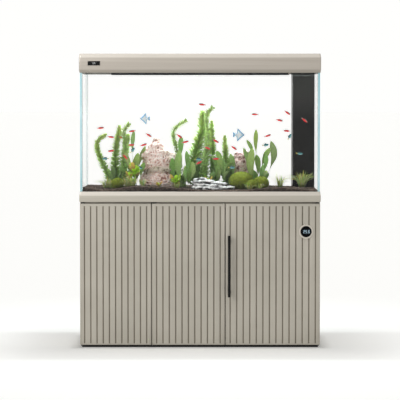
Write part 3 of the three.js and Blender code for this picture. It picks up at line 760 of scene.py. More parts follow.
def fittings():
    """Small hardware on the doors: handle screws, strike plates and soft bumpers."""
    steel_colour = (186, 187, 188)
    steel = plain_plastic("bright_steel", steel_colour, 0.3, metallic=0.9)
    low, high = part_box("door_handle")
    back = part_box("door_right")[1].y
    inward = Vector((0, 1, 0))
    screws = Shape()
    for z in (low.z + 25 * MM, high.z - 25 * MM):
        disc(screws, Vector(((low.x + high.x) / 2, back, z)), inward, 4 * MM, 1.6 * MM, steel_colour, 0.3)
    screws.piece("handle_screws", steel, "right_door", "black_steel")
    for side in ("left", "middle"):
        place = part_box(f"latch_plunger_{side}")
        middle = (place[0] + place[1]) / 2
        plate = Shape()
        disc(plate, Vector((middle.x, back, middle.z)), inward, 8 * MM, 0.3 * MM, steel_colour)
        plate.piece(f"strike_plate_{side}", steel, f"{side}_door", "black_steel")
    bumper = silicone()
    inset = 12 * MM
    for side in ("left", "middle", "right"):
        low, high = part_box(f"door_{side}")
        free = low.x + inset if side == "right" else high.x - inset
        dots = Shape()
        for z in (low.z + inset, high.z - inset):
            disc(dots, Vector((free, back, z)), inward, 4 * MM, 1.2 * MM, (225, 228, 228), 0.3)
        dots.piece(f"door_bumpers_{side}", bumper, f"{side}_door", "white_plastic")


# ---- filter ----
def filter_pieces():
    """The pipes, valve, pump, heater, sump and tray."""
    pipe = plain_plastic("pipe_grey", (140, 145, 149), 0.4)
    for name in ("drain_standpipe", "drain_valve_body", "drain_tail_pipe", "return_pipe"):
        softened(name, pipe, 0.6, dissolve=False)
    black = plain_plastic("filter_black", (38, 39, 40), 0.45)
    for name in ("drain_strainer", "return_nozzle", "pump_housing", "sump_heater"):
        softened(name, black, 0.6, dissolve=False)
    softened("drain_valve_lever", plain_plastic("lever_red", (176, 44, 34), 0.4), 0.8)
    softened("pump_impeller", plain_plastic("rotor_white", (224, 224, 220), 0.4), 0.3)
    sump = softened("sump_tank", pane_glass("sump_glass", (250, 254, 253)), 0.6)
    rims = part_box("sump_tank")[0].z + 0.1
    patch(sump, glass_edge(), lambda face: face.normal.z > 0.5 and face.center.z > rims)
    smoke = Look("smoked_acrylic", (182, 196, 202), 0.2)
    smoke.bump(smoke.grain(40, 2), 0.0002, 0.2)
    softened("drip_tray", smoke.see_through((206, 220, 226), 0.35), 0.6)


def filter_floss():
    """White wadding: a pad that swells between its pressed edges, with a loose, fibrous face."""
    low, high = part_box("filter_floss")
    across, along = 90, 60
    middle = (low + high) / 2
    half = (high - low) / 2
    rings = []
    for j in range(along + 1):
        v = 2 * j / along - 1
        ring = []
        for face in (1, -1):
            for i in range(across + 1):
                u = (2 * i / across - 1) * face
                edge = (1 - abs(u) ** 6) ** 0.5 * (1 - abs(v) ** 6) ** 0.5
                fluff = noise.fractal(Vector((u * 9, v * 7, face * 3)), 0.8, 2.2, 4)
                swell = half.z * max(0.04, edge * (0.82 + 0.18 * fluff))
                ring.append(Vector((middle.x + half.x * u, middle.y + half.y * v, middle.z + face * swell)))
        rings.append(ring)
    shape = Shape()
    shape.loft(rings, (232, 234, 232))
    look = Look("floss_fibre", (230, 232, 230), 0.95, sheen=0.4)
    fibres = look.grain(340, 5, 0.7, look.stretched(1, 0.35, 1), 0.8)
    look.colour(look.ramp(fibres, (0.3, (196, 200, 196)), (0.7, (244, 246, 244))))
    look.bump(fibres, 0.0012, 0.9)
    pad = shape.piece("filter_floss_pad", look, "root", "filter_floss", ["filter_floss"])


def bio_rings():
    """Ceramic rings heaped within the block that stands for them. Those that can't be seen are left out."""
    low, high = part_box("bio_media")
    rng = random.Random(7)
    radius, wall, half, margin, sides = 9 * MM, 3.4 * MM, 8 * MM, 12.5 * MM, 12
    profile = [(radius - wall, -1), (radius, -1), (radius, 1), (radius - wall, 1)]
    step = 2 * radius
    size = high - low
    counts = [int(size[axis] / step) for axis in range(3)]
    shape = Shape()
    for index in np.ndindex(*counts):
        share = Vector([(i + 0.5) / n for i, n in zip(index, counts)])
        shift = Vector([rng.uniform(-0.18, 0.18) * step for _ in range(3)])
        spot = [low[a] + size[a] * share[a] + shift[a] for a in range(3)]
        centre = Vector([min(max(spot[a], low[a] + margin), high[a] - margin) for a in range(3)])
        turn = Quaternion([rng.gauss(0, 1) for _ in range(4)]).normalized()
        if 0 < index[0] < counts[0] - 1 and 0 < index[1] < counts[1] - 1 and index[2] < counts[2] - 2:
            continue
        shade = rng.randint(-14, 10)
        points = []
        for a in turns(sides):
            across, up = math.cos(a), math.sin(a)
            points += [centre + turn @ Vector((r * across, r * up, h * half)) for r, h in profile]
        faces = []
        for i in range(sides):
            j = (i + 1) % sides
            faces += [(4 * i + k, 4 * j + k, 4 * j + (k + 1) % 4, 4 * i + (k + 1) % 4) for k in range(4)]
        shape.add(points, faces, (206 + shade, 194 + shade, 172 + shade))
    look = tinted("ceramic", 0.9, relief=0.0005)
    sharpen(shape.piece("bio_media_rings", look, "root", "ceramic_media", ["bio_media"]), 40)


def water_sheet(name, look, low, high, level, notch=None):
    """A water surface with low ripples, cut away behind and to the right of a notch's corner."""
    square, ripple = 0.02, 0.6 * MM
    across, along = (max(8, round((high[axis] - low[axis]) / square)) for axis in (0, 1))
    points = []
    for j in range(along + 1):
        for i in range(across + 1):
            x = low[0] + (high[0] - low[0]) * i / across
            y = low[1] + (high[1] - low[1]) * j / along
            points.append((x, y, level + ripple * noise.noise(Vector((x * 14, y * 14, level)))))
    faces = []
    for j in range(along):
        for i in range(across):
            a = j * (across + 1) + i
            x, y, _ = points[a + across + 2]
            if not (notch and x > notch[0] and y > notch[1]):
                faces.append((a, a + 1, a + across + 2, a + across + 1))
    shape = Shape()
    shape.add(points, faces, (235, 248, 250))
    shape.piece(name, look, "root", "tank_glass")


def water_surfaces():
    """The water's surface in the tank, up to the weir, and in the sump."""
    look = water()
    inset = 0.5 * MM
    low = (TANK_LEFT + inset, TANK_FRONT + inset)
    high = (TANK_RIGHT - inset, TANK_BACK - inset)
    water_sheet("water_surface", look, low, high, WATER_LEVEL, (WEIR_LEFT, WEIR_FRONT))
    sump_low, sump_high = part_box("sump_tank")
    wall, depth = 7 * MM, 0.25
    low = (sump_low.x + wall, sump_low.y + wall)
    high = (sump_high.x - wall, sump_high.y - wall)
    water_sheet("sump_water", look, low, high, sump_low.z + depth)


# ---- gravel and rocks ----
GRAVEL_GRID = (220, 74, 1.5 * MM)  # squares across and along, and the gap to the glass
BROWNS = [(56, 47, 41), (44, 37, 32), (72, 61, 54), (34, 29, 25), (92, 80, 71)]


def gravel_top(height):
    """The bed's upper face as a grid of points, roughened over the CAD surface."""
    low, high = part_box("gravel_bed")
    across, along, inset = GRAVEL_GRID
    top = {}
    for j in range(along + 1):
        for i in range(across + 1):
            x = low.x + inset + (high.x - low.x - 2 * inset) * i / across
            y = low.y + inset + (high.y - low.y - 2 * inset) * j / along
            z = height(x, y)
            if z is not None and z > low.z + 5 * MM:
                rough = noise.fractal(Vector((x * 90, y * 90, 0)), 0.7, 2.1, 3)
                drift = noise.noise(Vector((x * 11, y * 14, 4)))
                top[i, j] = Vector((x, y, min(z + (1.1 * rough + 1.6 * drift) * MM, high.z)))
    return top


def slab(top, bottom, steps=6):
    """The points and faces of a closed slab from a grid down to a level, with its sides in steps."""
    number = {key: k for k, key in enumerate(top)}
    points = list(top.values())
    count, faces, ring_of = len(points), [], {}
    points += [Vector((p.x, p.y, bottom)) for p in points]
    for (i, j) in top:
        cell = [(i, j), (i + 1, j), (i + 1, j + 1), (i, j + 1)]
        if all(c in top for c in cell):
            ring = [number[c] for c in cell]
            faces.append(tuple(ring))
            faces.append(tuple(k + count for k in reversed(ring)))
            for a, b in zip(ring, ring[1:] + ring[:1]):
                ring_of[a, b] = True
    edges = [(a, b) for a, b in ring_of if (b, a) not in ring_of]
    columns = {}
    for k in {k for pair in edges for k in pair}:
        p = points[k]
        inner = range(len(points), len(points) + steps - 1)
        points += [p.lerp(points[k + count], n / steps) for n in range(1, steps)]
        columns[k] = [k, *inner, k + count]
    for a, b in edges:
        for n in range(steps):
            faces.append((columns[b][n], columns[a][n], columns[a][n + 1], columns[b][n + 1]))
    return points, faces


def gravel():
    """A bed of dark grains: the CAD surface, roughened, with loose pebbles half sunk in it."""
    tree = BVHTree.FromObject(NODES["gravel_bed"], bpy.context.evaluated_depsgraph_get())
    low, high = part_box("gravel_bed")

    def height(x, y):
        """The level of the CAD bed here, or None beside it."""
        hit = tree.ray_cast(Vector((x, y, high.z + 1)), -UP)[0]
        return hit.z if hit else None

    def tint(place):
        """A brown for this place, in patches."""
        return BROWNS[min(4, int(5 * (0.5 + 0.62 * noise.noise(place * 130))))]

    top = gravel_top(height)
    across, along, _ = GRAVEL_GRID
    rng = random.Random(3)
    shape = Shape()
    bottom = low.z + 0.2 * MM
    points, faces = slab(top, bottom)
    # The bed's top is painted half again as bright as its sides: painted light on top, painted shade below.
    shape.add(points, faces, [dimmed(tint(p), 1.5 if n < len(top) else 1) for n, p in enumerate(points)])
    inside = [k for k in top if 1 < k[0] < across - 1 and 1 < k[1] < along - 1]
    # Loose grains on top take these lighter browns, a painted light; those against the front pane keep the
    # darker ones, a painted shade.
    pale = [dimmed(brown, 1.55) for brown in BROWNS]
    for _ in range(2000):
        centre = top[rng.choice(inside)]
        size = rng.uniform(1.2, 3.4) * MM
        spot = centre + Vector((rng.uniform(-2, 2) * MM, rng.uniform(-2, 2) * MM, 0))
        spot.z = min(spot.z, high.z - size)
        pebble(shape, spot, size, rng, pale)
    front = [top[k] for k in top if k[1] == 0]
    for _ in range(900):
        p = rng.choice(front)
        size = rng.uniform(1.2, 2.8) * MM
        spot = Vector((p.x, low.y + 0.9 * size, rng.uniform(bottom + size, p.z)))
        spot.x = min(max(spot.x, low.x + size), high.x - size)
        pebble(shape, spot, size, rng, BROWNS)
    look = tinted("gravel_grain", 0.85, relief=0.0012, scale=420, shine=0.12)
    shape.piece("gravel_grains", look, "root", "gravel", ["gravel_bed"])
    return height


def pebble(shape, centre, size, rng, colours):
    """A rounded grain with seven sides, squashed and turned at random."""
    turn = Quaternion([rng.gauss(0, 1) for _ in range(4)]).normalized()
    squash = Vector((rng.uniform(0.8, 1.2), rng.uniform(0.7, 1), rng.uniform(0.5, 0.8))) * size
    sides = 7
    points = [centre - turn @ Vector((0, 0, squash.z))]
    for radius, level in ((0.8, -0.6), (1.0, 0.0), (0.8, 0.6)):
        for a in turns(sides):
            wobble = radius * rng.uniform(0.85, 1.1)
            x, y = squash.x * wobble * math.cos(a), squash.y * wobble * math.sin(a)
            points.append(centre + turn @ Vector((x, y, squash.z * level)))
    points.append(centre + turn @ Vector((0, 0, squash.z)))
    faces = []
    last = len(points) - 1
    for k in range(sides):
        n = (k + 1) % sides
        faces += [(0, 1 + n, 1 + k), (last, last - sides + k, last - sides + n)]
        for ring in range(2):
            a, b = 1 + ring * sides + k, 1 + ring * sides + n
            faces.append((a, b, b + sides, a + sides))
    shape.add(points, faces, rng.choice(colours))


def ball(radii, centre, detail):
    """A mesh of a sphere stretched to these half-sizes."""
    mesh = bpy.data.meshes.new("ball")
    form = bmesh.new()
    bmesh.ops.create_icosphere(form, subdivisions=detail, radius=1)
    for v in form.verts:
        v.co = Vector(centre) + Vector((v.co.x * radii[0], v.co.y * radii[1], v.co.z * radii[2]))
    form.to_mesh(mesh)
    form.free()
    return mesh


def fused(balls, voxel):
    """Overlapping balls made into one closed skin of small squares."""
    form = bmesh.new()
    for mesh in balls:
        form.from_mesh(mesh)
    joined = bpy.data.meshes.new("joined")
    form.to_mesh(joined)
    form.free()
    carrier = scene_object("joined", joined)
    remesh = carrier.modifiers.new("remesh", "REMESH")
    remesh.mode = "VOXEL"
    remesh.voxel_size = voxel
    skin = bpy.data.meshes.new_from_object(carrier.evaluated_get(bpy.context.evaluated_depsgraph_get()))
    bpy.data.objects.remove(carrier)
    return skin


def heap(x, y, base, lumps):
    """Balls over a foot: each lump is its half-sizes, its place from the foot and how fine it is."""
    return [ball(radii, (x + dx, y + dy, base + dz), detail) for radii, (dx, dy, dz), detail in lumps]


def carved(name, balls, voxel, relief, palette, look, stands_for, band=None):
    """A rock: fused balls, moved in and out and tinted by relief.

    relief(place, normal) gives how far a point moves, in metres, and its tone. The palette runs from tone 0
    in the hollows to 1 on the ridges. band is a second palette and how much of it each place has."""
    skin = fused(balls, voxel)
    points = np.empty(len(skin.vertices) * 3)
    skin.vertices.foreach_get("co", points)
    points = points.reshape(-1, 3)
    normals = [v.normal.copy() for v in skin.vertices]
    moved = np.empty_like(points)
    tints = np.empty((len(points), 4), np.float32)
    shades = np.array([(*linear(c), 1) for c in palette])
    others = np.array([(*linear(c), 1) for c in band[0]]) if band else shades
    for i, (place, normal) in enumerate(zip(points, normals)):
        move, tone = relief(Vector(place), normal)
        moved[i] = np.array(place) + np.array(normal) * move
        level = min(max(tone, 0), 0.999) * (len(shades) - 1)
        k = int(level)
        part = band[1](Vector(place)) if band else 0
        row = shades * (1 - part) + others * part
        tints[i] = row[k] * (1 - level + k) + row[k + 1] * (level - k)
    skin.vertices.foreach_set("co", moved.ravel())
    skin.update()
    tint = skin.attributes.new("tint", "FLOAT_COLOR", "POINT")
    tint.data.foreach_set("color", tints.ravel())
    skin.shade_smooth()
    return placed(name, skin, look, "root", stands_for)


def ridged(place):
    """Folded noise from 0 in creases to 1 on ridges."""
    total, weight, size = 0.0, 0.0, 1.0
    for _ in range(3):
        total += size * (1 - abs(noise.noise(place)) * 2)
        weight += size
        size *= 0.5
        place = place * 2.1
    return total / weight


def crinkled(depth, scale):
    """A coral rock's skin: folds and pits over broad lumps."""
    def relief(place, _):
        swirl = noise.noise_vector(place * 16) * 0.35
        fold = ridged(place * scale + swirl)
        pits = noise.noise(place * scale * 3.1)
        broad = noise.noise(place * 12)
        # The tone is painted shade and light: dark in the creases and pits, pale on the ridges.
        tone = 0.62 + 1.5 * (fold - 0.57) + 0.35 * pits
        return depth * (1.2 * (fold - 0.55) + 0.35 * pits + 0.7 * broad), tone
    return relief


CORAL = [(164, 118, 106), (216, 172, 158), (242, 208, 196), (250, 228, 218), (253, 242, 236)]
WORN = [(104, 92, 78), (158, 146, 128), (190, 176, 158), (204, 190, 172), (214, 202, 186)]
MAUVE = [(132, 92, 92), (178, 130, 130), (218, 172, 172), (240, 206, 204), (252, 236, 234)]
BED_THICKNESS = 0.018
SLATE = [(30, 31, 32), (92, 93, 93), (160, 161, 160), (218, 218, 216), (240, 240, 238)]


def large_rock(height, look):
    """Two heaps of coral, one over the other, with a worn arch between them."""
    x, y = -0.213, 0.035
    base = height(x, y)
    crest = crinkled(8 * MM, 64)
    arch_height, arch_half = 0.083, 0.016

    def worn(place):
        """How far this place lies in the smooth arch between the upper and the lower coral."""
        arch = base + arch_height + 0.012 * math.cos((place.x - x) * 22) - 0.1 * abs(place.x - x)
        return max(0.0, 1 - (abs(place.z - arch) / arch_half) ** 2)

    def pile(place, normal):
        """The coral's folds, nearly smooth in the arch."""
        move, tone = crest(place, normal)
        near = worn(place)
        return move * (1 - 0.9 * near) + 3 * MM * near, tone

    balls = heap(x, y, base, [
        ((0.09, 0.075, 0.05), (0.008, 0, 0.125), 4),
        ((0.07, 0.06, 0.046), (-0.002, 0, 0.16), 4),
        ((0.044, 0.04, 0.034), (-0.012, 0, 0.196), 3),
        ((0.02, 0.022, 0.03), (-0.012, 0.004, 0.22), 3),
        ((0.036, 0.036, 0.032), (-0.06, -0.01, 0.162), 3),
        ((0.038, 0.04, 0.028), (0.06, 0.01, 0.152), 3),
        ((0.03, 0.03, 0.024), (0.088, 0.005, 0.116), 3),
        ((0.086, 0.074, 0.032), (0.004, -0.004, 0.088), 4),
        ((0.098, 0.08, 0.066), (0, -0.002, 0.028), 4),
    ])
    carved("coral_rock_large", balls, 3 * MM, pile, CORAL, look, ["rock_large"], (WORN, worn))


def column_rock(height, look):
    """A short column of mauve coral."""
    x, y = 0.216, 0.085
    balls = heap(x, y, height(x, y), [
        ((0.052, 0.046, 0.075), (0, 0, 0.048), 3),
        ((0.051, 0.044, 0.062), (-0.001, 0, 0.11), 3),
        ((0.044, 0.04, 0.032), (0.003, 0, 0.154), 3),
    ])
    skin = crinkled(6 * MM, 74)
    carved("coral_rock_column", balls, 3 * MM, skin, MAUVE, look, ["rock_column"])


def strata(place, normal):
    """Thin beds that stand out in steps, with dark gaps between them, painted shade in the recesses."""
    tilt = place.z + 0.11 * (place.x - 0.06) + 0.01 * noise.noise(place * 20)
    bed = 0.5 + 0.5 * math.sin(tilt * 2 * math.pi / BED_THICKNESS)
    chip = noise.fractal(place * 55, 0.8, 2.2, 3)
    flat = abs(normal.z)
    move = ((bed - 0.5) * 5 * (1 - 0.6 * flat) + 4.4 * chip + 4 * noise.noise(place * 26)) * MM
    # The tone paints shade into the recessed gaps between the beds, and is paler on level faces.
    return move, 0.2 + 0.5 * bed + 0.85 * chip + 0.2 * flat


def flat_slate(height):
    """A low stack of pale slate."""
    x, y = 0.056, -0.105
    balls = heap(x, y, height(x, y), [
        ((0.112, 0.06, 0.016), (0.008, 0, 0.006), 4),
        ((0.088, 0.052, 0.014), (-0.006, 0.004, 0.021), 4),
        ((0.06, 0.044, 0.012), (-0.04, 0.004, 0.036), 4),
        ((0.036, 0.03, 0.01), (-0.052, 0.008, 0.046), 3),
        ((0.05, 0.036, 0.01), (0.035, -0.006, 0.027), 3),
    ])
    slate = tinted("slate_rock", 0.8, relief=0.001, scale=260)
    carved("slate_rock", balls, 2.2 * MM, strata, SLATE, slate, ["rock_slate"])


def rocks(height):
    """The two coral rocks and the slate, on the gravel."""
    coral = tinted("coral_rock", 0.9, relief=0.0016, scale=300)
    large_rock(height, coral)
    column_rock(height, coral)
    flat_slate(height)


# ---- plants ----
STALK_HALF = 0.9 * MM
BLADE_THIN = 0.35 * MM
THIRDS = (0, 2.094, 4.189)  # a turn in three parts


def leaf(shape, spine, width, tint, stalk, cup, face, sides, stations, ruffle=0.0):
    """A leaf: a thin stalk that opens to a pointed blade, a little folded along its midrib.

    spine is a few points, width the blade's half-width, stalk the share of the length below the blade, cup
    how deep its fold is, and face the way its upper side looks."""
    path = smooth_path(spine, max(2, stations // (len(spine) - 1)))
    face = Vector(face).normalized()
    count = len(path) - 1
    rings, tints = [], []
    for i, centre in enumerate(path):
        share = i / count
        ahead = (path[min(i + 1, count)] - path[max(i - 1, 0)]).normalized()
        side = ahead.cross(face).normalized()
        lift = side.cross(ahead)
        blade = max(0.0, (share - stalk) / (1 - stalk))
        thin = BLADE_THIN if share > stalk else STALK_HALF
        fold = cup if blade > 0 else 0
        half = max(STALK_HALF, width * math.sin(math.pi * blade ** 1.25) ** 0.6)
        if i == count:
            half, thin = 0.3 * MM, 0.2 * MM
        ring = []
        for a in turns(sides):
            out = math.cos(a)
            wave = ruffle * width * abs(out) * math.sin(share * 26 + (0 if out > 0 else 1.7))
            rise = thin * math.sin(a) + fold * half * out * out + wave * (half / width)
            ring.append(centre + side * (half * out) + lift * rise)
        rings.append(ring)
        # Painted shade: each leaf runs from darker at its foot to lighter at its tip.
        tints.append(tuple(min(255, c * (0.72 + 0.34 * share)) for c in tint))
    shape.loft(rings, tints)


def needle(shape, root, direction, length, radius, tint):
    """A thin pointed leaflet that droops a little, with three sides."""
    across = direction.orthogonal().normalized()
    other = direction.cross(across)
    middle = root + direction * (length * 0.6) + UP * (length * 0.06)
    tip = root + direction * length - UP * (length * 0.02)
    corners = [across * math.cos(a) + other * math.sin(a) for a in THIRDS]
    points = [root + c * radius for c in corners] + [middle + c * (radius * 0.95) for c in corners] + [tip]
    faces = [(2, 1, 0), (3, 4, 6), (4, 5, 6), (5, 3, 6)]
    faces += [(0, 1, 4, 3), (1, 2, 5, 4), (2, 0, 3, 5)]
    # Painted shade: the leaflet's root is a little darker than its tip.
    shape.add(points, faces, [dimmed(tint, 0.88)] * 3 + [tint] * 4)


def whorls(shape, path, radius, tint, gap):
    """Adds a stem, and yields its share of the length, its place and two directions at every gap."""
    lengths = np.cumsum([0] + [(b - a).length for a, b in zip(path, path[1:])])
    total = lengths[-1]
    shape.tube(path[::4] + [path[-1]], radius, dimmed(tint, 0.8))
    across = sections(path)
    count = int(total / gap)
    for w in range(1, count + 1):
        along = total * w / count
        k = min(int(np.searchsorted(lengths, along)), len(path) - 1)
        yield along / total, path[k], across[k]


def feathery_stem(shape, route, reach, rng, low_tint, high_tint):
    """A stem with whorls of fine leaflets along it, shorter and brighter towards the tip."""
    path = smooth_path(route, 24)
    for share, place, (side, other) in whorls(shape, path, 1.3 * MM, low_tint, 5.4 * MM):
        ahead = side.cross(other)
        shortened = 0.5 + 0.5 * min(1, (1 - share) / 0.07)
        length = reach * (1.15 - 0.5 * share) * rng.uniform(0.85, 1.15) * shortened
        turn = rng.uniform(0, math.pi)
        for a in turns(12):
            out = side * math.cos(turn + a) + other * math.sin(turn + a)
            direction = (out + ahead * (0.5 + rng.uniform(-0.15, 0.15) + 0.5 * share**3)).normalized()
            mix = min(1, share * 1.1 + rng.uniform(-0.15, 0.15))
            shade = rng.uniform(0.74, 1.12)
            tint = tuple(min(255, shade * max(0, p + (q - p) * mix)) for p, q in zip(low_tint, high_tint))
            needle(shape, place, direction, length * rng.uniform(0.75, 1.2), 2.1 * MM, tint)
    ahead = (path[-1] - path[-2]).normalized()
    for _ in range(26):
        out = Vector([rng.gauss(0, 0.35) for _ in range(3)])
        foot, direction = path[-1] - ahead * (2 * MM), (ahead + out).normalized()
        needle(shape, foot, direction, reach * rng.uniform(0.25, 0.45), 1.4 * MM, high_tint)


def crowned_stem(shape, route, reach, rng, low_tint, high_tint):
    """A stem with crowns of short broad leaves that reach up and out."""
    path = smooth_path(route, 24)
    for share, place, (side, other) in whorls(shape, path, 1.6 * MM, low_tint, 9 * MM):
        ahead = side.cross(other)
        turn = rng.uniform(0, math.pi)
        tint = tuple(p + (q - p) * min(1, share * 1.1) for p, q in zip(low_tint, high_tint))
        for a in turns(6):
            out = side * math.cos(turn + a) + other * math.sin(turn + a)
            length = reach * rng.uniform(0.85, 1.15) * (1.05 - 0.35 * share)
            spine = [
                place,
                place + out * (length * 0.55) + ahead * (length * 0.3),
                place + out * (length * 0.95) + ahead * (length * 0.75),
            ]
            shade = rng.uniform(0.8, 1.15)
            tone = tuple(min(255, c * shade) for c in tint)
            leaf(shape, spine, 4.6 * MM, tone, 0.08, 0.15, ahead - out * 0.8, 6, 6)


# Each stem: depth in the tank, how far its leaflets reach, and its route from the gravel up.
FEATHERY_STEMS = [
    (0.02, 0.027, [
        (-0.452, 0.81), (-0.478, 0.87), (-0.515, 0.95), (-0.529, 1.0), (-0.52, 1.038), (-0.483, 1.066),
    ]),
    (0.045, 0.034, [(-0.43, 0.81), (-0.437, 0.9), (-0.432, 1.0), (-0.418, 1.07), (-0.414, 1.105)]),
    (0.06, 0.034, [(-0.4, 0.81), (-0.396, 0.9), (-0.386, 0.98), (-0.372, 1.06)]),
    (0.05, 0.05, [(-0.03, 0.81), (-0.035, 0.9), (-0.015, 0.99), (0.012, 1.09), (0.014, 1.175)]),
    (0.08, 0.038, [(0.015, 0.81), (0.02, 0.9), (0.04, 1.0), (0.036, 1.08)]),
    (0.1, 0.028, [(0.07, 0.81), (0.068, 0.92), (0.064, 1.04), (0.06, 1.13)]),
    (0.03, 0.03, [(0.14, 0.81), (0.136, 0.9), (0.13, 0.98), (0.127, 1.055)]),
    (0.0, 0.02, [(-0.09, 0.81), (-0.08, 0.86), (-0.075, 0.9)]),
]
CROWNED_STEMS = [
    (0.0, 0.024, [(-0.41, 0.81), (-0.385, 0.93), (-0.386, 1.03), (-0.39, 1.082), (-0.366, 1.118)]),
    (-0.01, 0.022, [
        (-0.1, 0.84), (-0.11, 0.95), (-0.134, 1.045), (-0.132, 1.09), (-0.102, 1.12), (-0.076, 1.136),
    ]),
    (-0.02, 0.024, [
        (0.005, 0.82), (0.024, 0.93), (0.044, 1.05), (0.034, 1.13), (0.042, 1.18), (0.06, 1.2),
    ]),
]
# Each broad leaf: depth, half-width in millimetres, how much of it is stalk, and its spine.
BROAD_LEAVES = [
    (-0.02, 11, 0.5, [(-0.335, 0.84), (-0.345, 0.94), (-0.345, 1.02), (-0.338, 1.09)]),
    (-0.03, 17, 0.25, [(-0.325, 0.83), (-0.33, 0.9), (-0.315, 0.975)]),
    (-0.01, 14, 0.3, [(-0.335, 0.83), (-0.36, 0.91), (-0.385, 0.975)]),
    (0.0, 12, 0.4, [(-0.325, 0.83), (-0.308, 0.93), (-0.28, 1.01)]),
    (0.0, 12, 0.3, [(-0.345, 0.82), (-0.375, 0.87), (-0.41, 0.9)]),
    (-0.03, 13, 0.3, [(-0.31, 0.83), (-0.3, 0.88), (-0.285, 0.925)]),
    (-0.03, 16, 0.45, [(-0.1, 0.83), (-0.098, 0.93), (-0.1, 1.0), (-0.096, 1.06)]),
    (-0.05, 19, 0.18, [(-0.095, 0.83), (-0.112, 0.9), (-0.104, 0.99)]),
    (-0.02, 16, 0.25, [(-0.11, 0.82), (-0.14, 0.87), (-0.142, 0.95)]),
    (-0.03, 13, 0.3, [(-0.08, 0.82), (-0.062, 0.9), (-0.07, 0.985)]),
    (-0.04, 14, 0.3, [(-0.07, 0.82), (-0.035, 0.87), (-0.04, 0.93)]),
    (-0.02, 16, 0.3, [(0.085, 0.82), (0.1, 0.88), (0.098, 0.965)]),
    (0.0, 15, 0.35, [(0.1, 0.82), (0.105, 0.92), (0.085, 0.985)]),
    (-0.03, 14, 0.3, [(0.11, 0.82), (0.13, 0.87), (0.16, 0.93)]),
    (-0.01, 14, 0.3, [(0.165, 0.83), (0.17, 0.9), (0.155, 0.97)]),
    (-0.02, 12, 0.5, [(0.29, 0.83), (0.29, 0.93), (0.284, 1.02), (0.287, 1.095)]),
    (-0.04, 22, 0.2, [(0.28, 0.83), (0.258, 0.9), (0.268, 1.0)]),
    (0.0, 12, 0.3, [(0.265, 0.83), (0.25, 0.92), (0.222, 1.0)]),
    (0.01, 10, 0.4, [(0.275, 0.83), (0.272, 0.95), (0.262, 1.0), (0.238, 1.04)]),
    (-0.02, 17, 0.3, [(0.295, 0.83), (0.297, 0.9), (0.287, 0.965)]),
    (0.0, 14, 0.4, [(0.3, 0.83), (0.325, 0.93), (0.36, 1.0)]),
    (-0.03, 13, 0.4, [(0.31, 0.83), (0.332, 0.9), (0.34, 0.965)]),
    (-0.01, 19, 0.3, [(0.32, 0.85), (0.365, 0.91), (0.377, 0.97), (0.362, 1.035)]),
    (-0.02, 12, 0.35, [(0.315, 0.82), (0.33, 0.86), (0.345, 0.88)]),
]


# Each undergrowth: its left and right, its front and back, the shortest and tallest leaf, and how many.
UNDERGROWTH = [
    (-0.47, -0.31, -0.02, 0.09, 0.05, 0.13, 14),
    (-0.15, -0.01, -0.04, 0.1, 0.06, 0.15, 20),
    (0.05, 0.17, -0.03, 0.1, 0.06, 0.16, 18),
    (0.26, 0.34, -0.03, 0.05, 0.05, 0.12, 10),
]
ROOT_DEPTH = 2 * MM


def plants(height):
    """The three clumps: the stems, then the broad leaves, then shorter leaves at their feet."""
    rng = random.Random(11)
    leaf_look = tinted("leaf_green", 0.5, relief=0.0004, scale=190, translucent=0.25)
    left, middle, right = Shape(), Shape(), Shape()

    def group(x):
        """The clump that stands here."""
        return left if x < -0.25 else middle if x < 0.2 else right

    for stems, grow, low_tint, high_tint in (
        (FEATHERY_STEMS, feathery_stem, (172, 226, 110), (220, 255, 140)),
        (CROWNED_STEMS, crowned_stem, (140, 180, 94), (188, 218, 118)),
    ):
        for y, reach, route in stems:
            points = [Vector((x, y + 0.01 * math.sin(9 * z), z)) for x, z in route]
            points[0].z = height(points[0].x, y) - ROOT_DEPTH
            grow(group(route[0][0]), points, reach, rng, low_tint, high_tint)
    for y, half, stalk, route in BROAD_LEAVES:
        points = [Vector((x, y + rng.uniform(-0.008, 0.008), z)) for x, z in route]
        points[0].z = height(points[0].x, y) - ROOT_DEPTH
        points[-1].y += rng.uniform(-0.02, 0.01)
        green = (154 + rng.randint(-10, 12), 188 + rng.randint(-8, 10), 106 + rng.randint(-10, 10))
        face = (rng.uniform(-0.5, 0.5), -1, rng.uniform(0, 0.3))
        leaf(group(route[0][0]), points, half * MM, green, stalk, 0.22, face, 10, 16, 0.05)
    for x0, x1, y0, y1, low, tall, count in UNDERGROWTH:
        for _ in range(count):
            foot = Vector((rng.uniform(x0, x1), rng.uniform(y0, y1), 0))
            foot.z = height(foot.x, foot.y) - ROOT_DEPTH
            size = rng.uniform(low, tall)
            out = Vector((rng.uniform(-1, 1), rng.uniform(-1, 1), 0)) * 0.45
            points = [foot, foot + (out * 0.25 + UP * 0.55) * size, foot + (out + UP) * size]
            green = dimmed((134, 172, 92), rng.uniform(0.75, 1.12))
            leaf(group(foot.x), points, size * 0.12, green, 0.25, 0.22, (out.x, -1, 0.3), 8, 10, 0.05)
    for name, shape in (("left", left), ("middle", middle), ("right", right)):
        shape.piece(f"plant_cluster_{name}", leaf_look, "root", "plants", [f"plants_{name}"])


# Each tuft: its place, its height and how many blades it has.
TUFTS = [
    (0.52, -0.02, 0.088, 110), (0.408, -0.01, 0.07, 60), (-0.48, -0.03, 0.066, 60),
    (-0.345, -0.11, 0.056, 70), (-0.372, -0.1, 0.05, 50), (-0.45, -0.06, 0.05, 40),
    (-0.29, -0.1, 0.04, 40), (0.25, -0.14, 0.034, 40), (-0.12, -0.11, 0.03, 40), (0.3, -0.13, 0.03, 30),
]
LIME, GOLD = (178, 232, 52), (226, 192, 96)
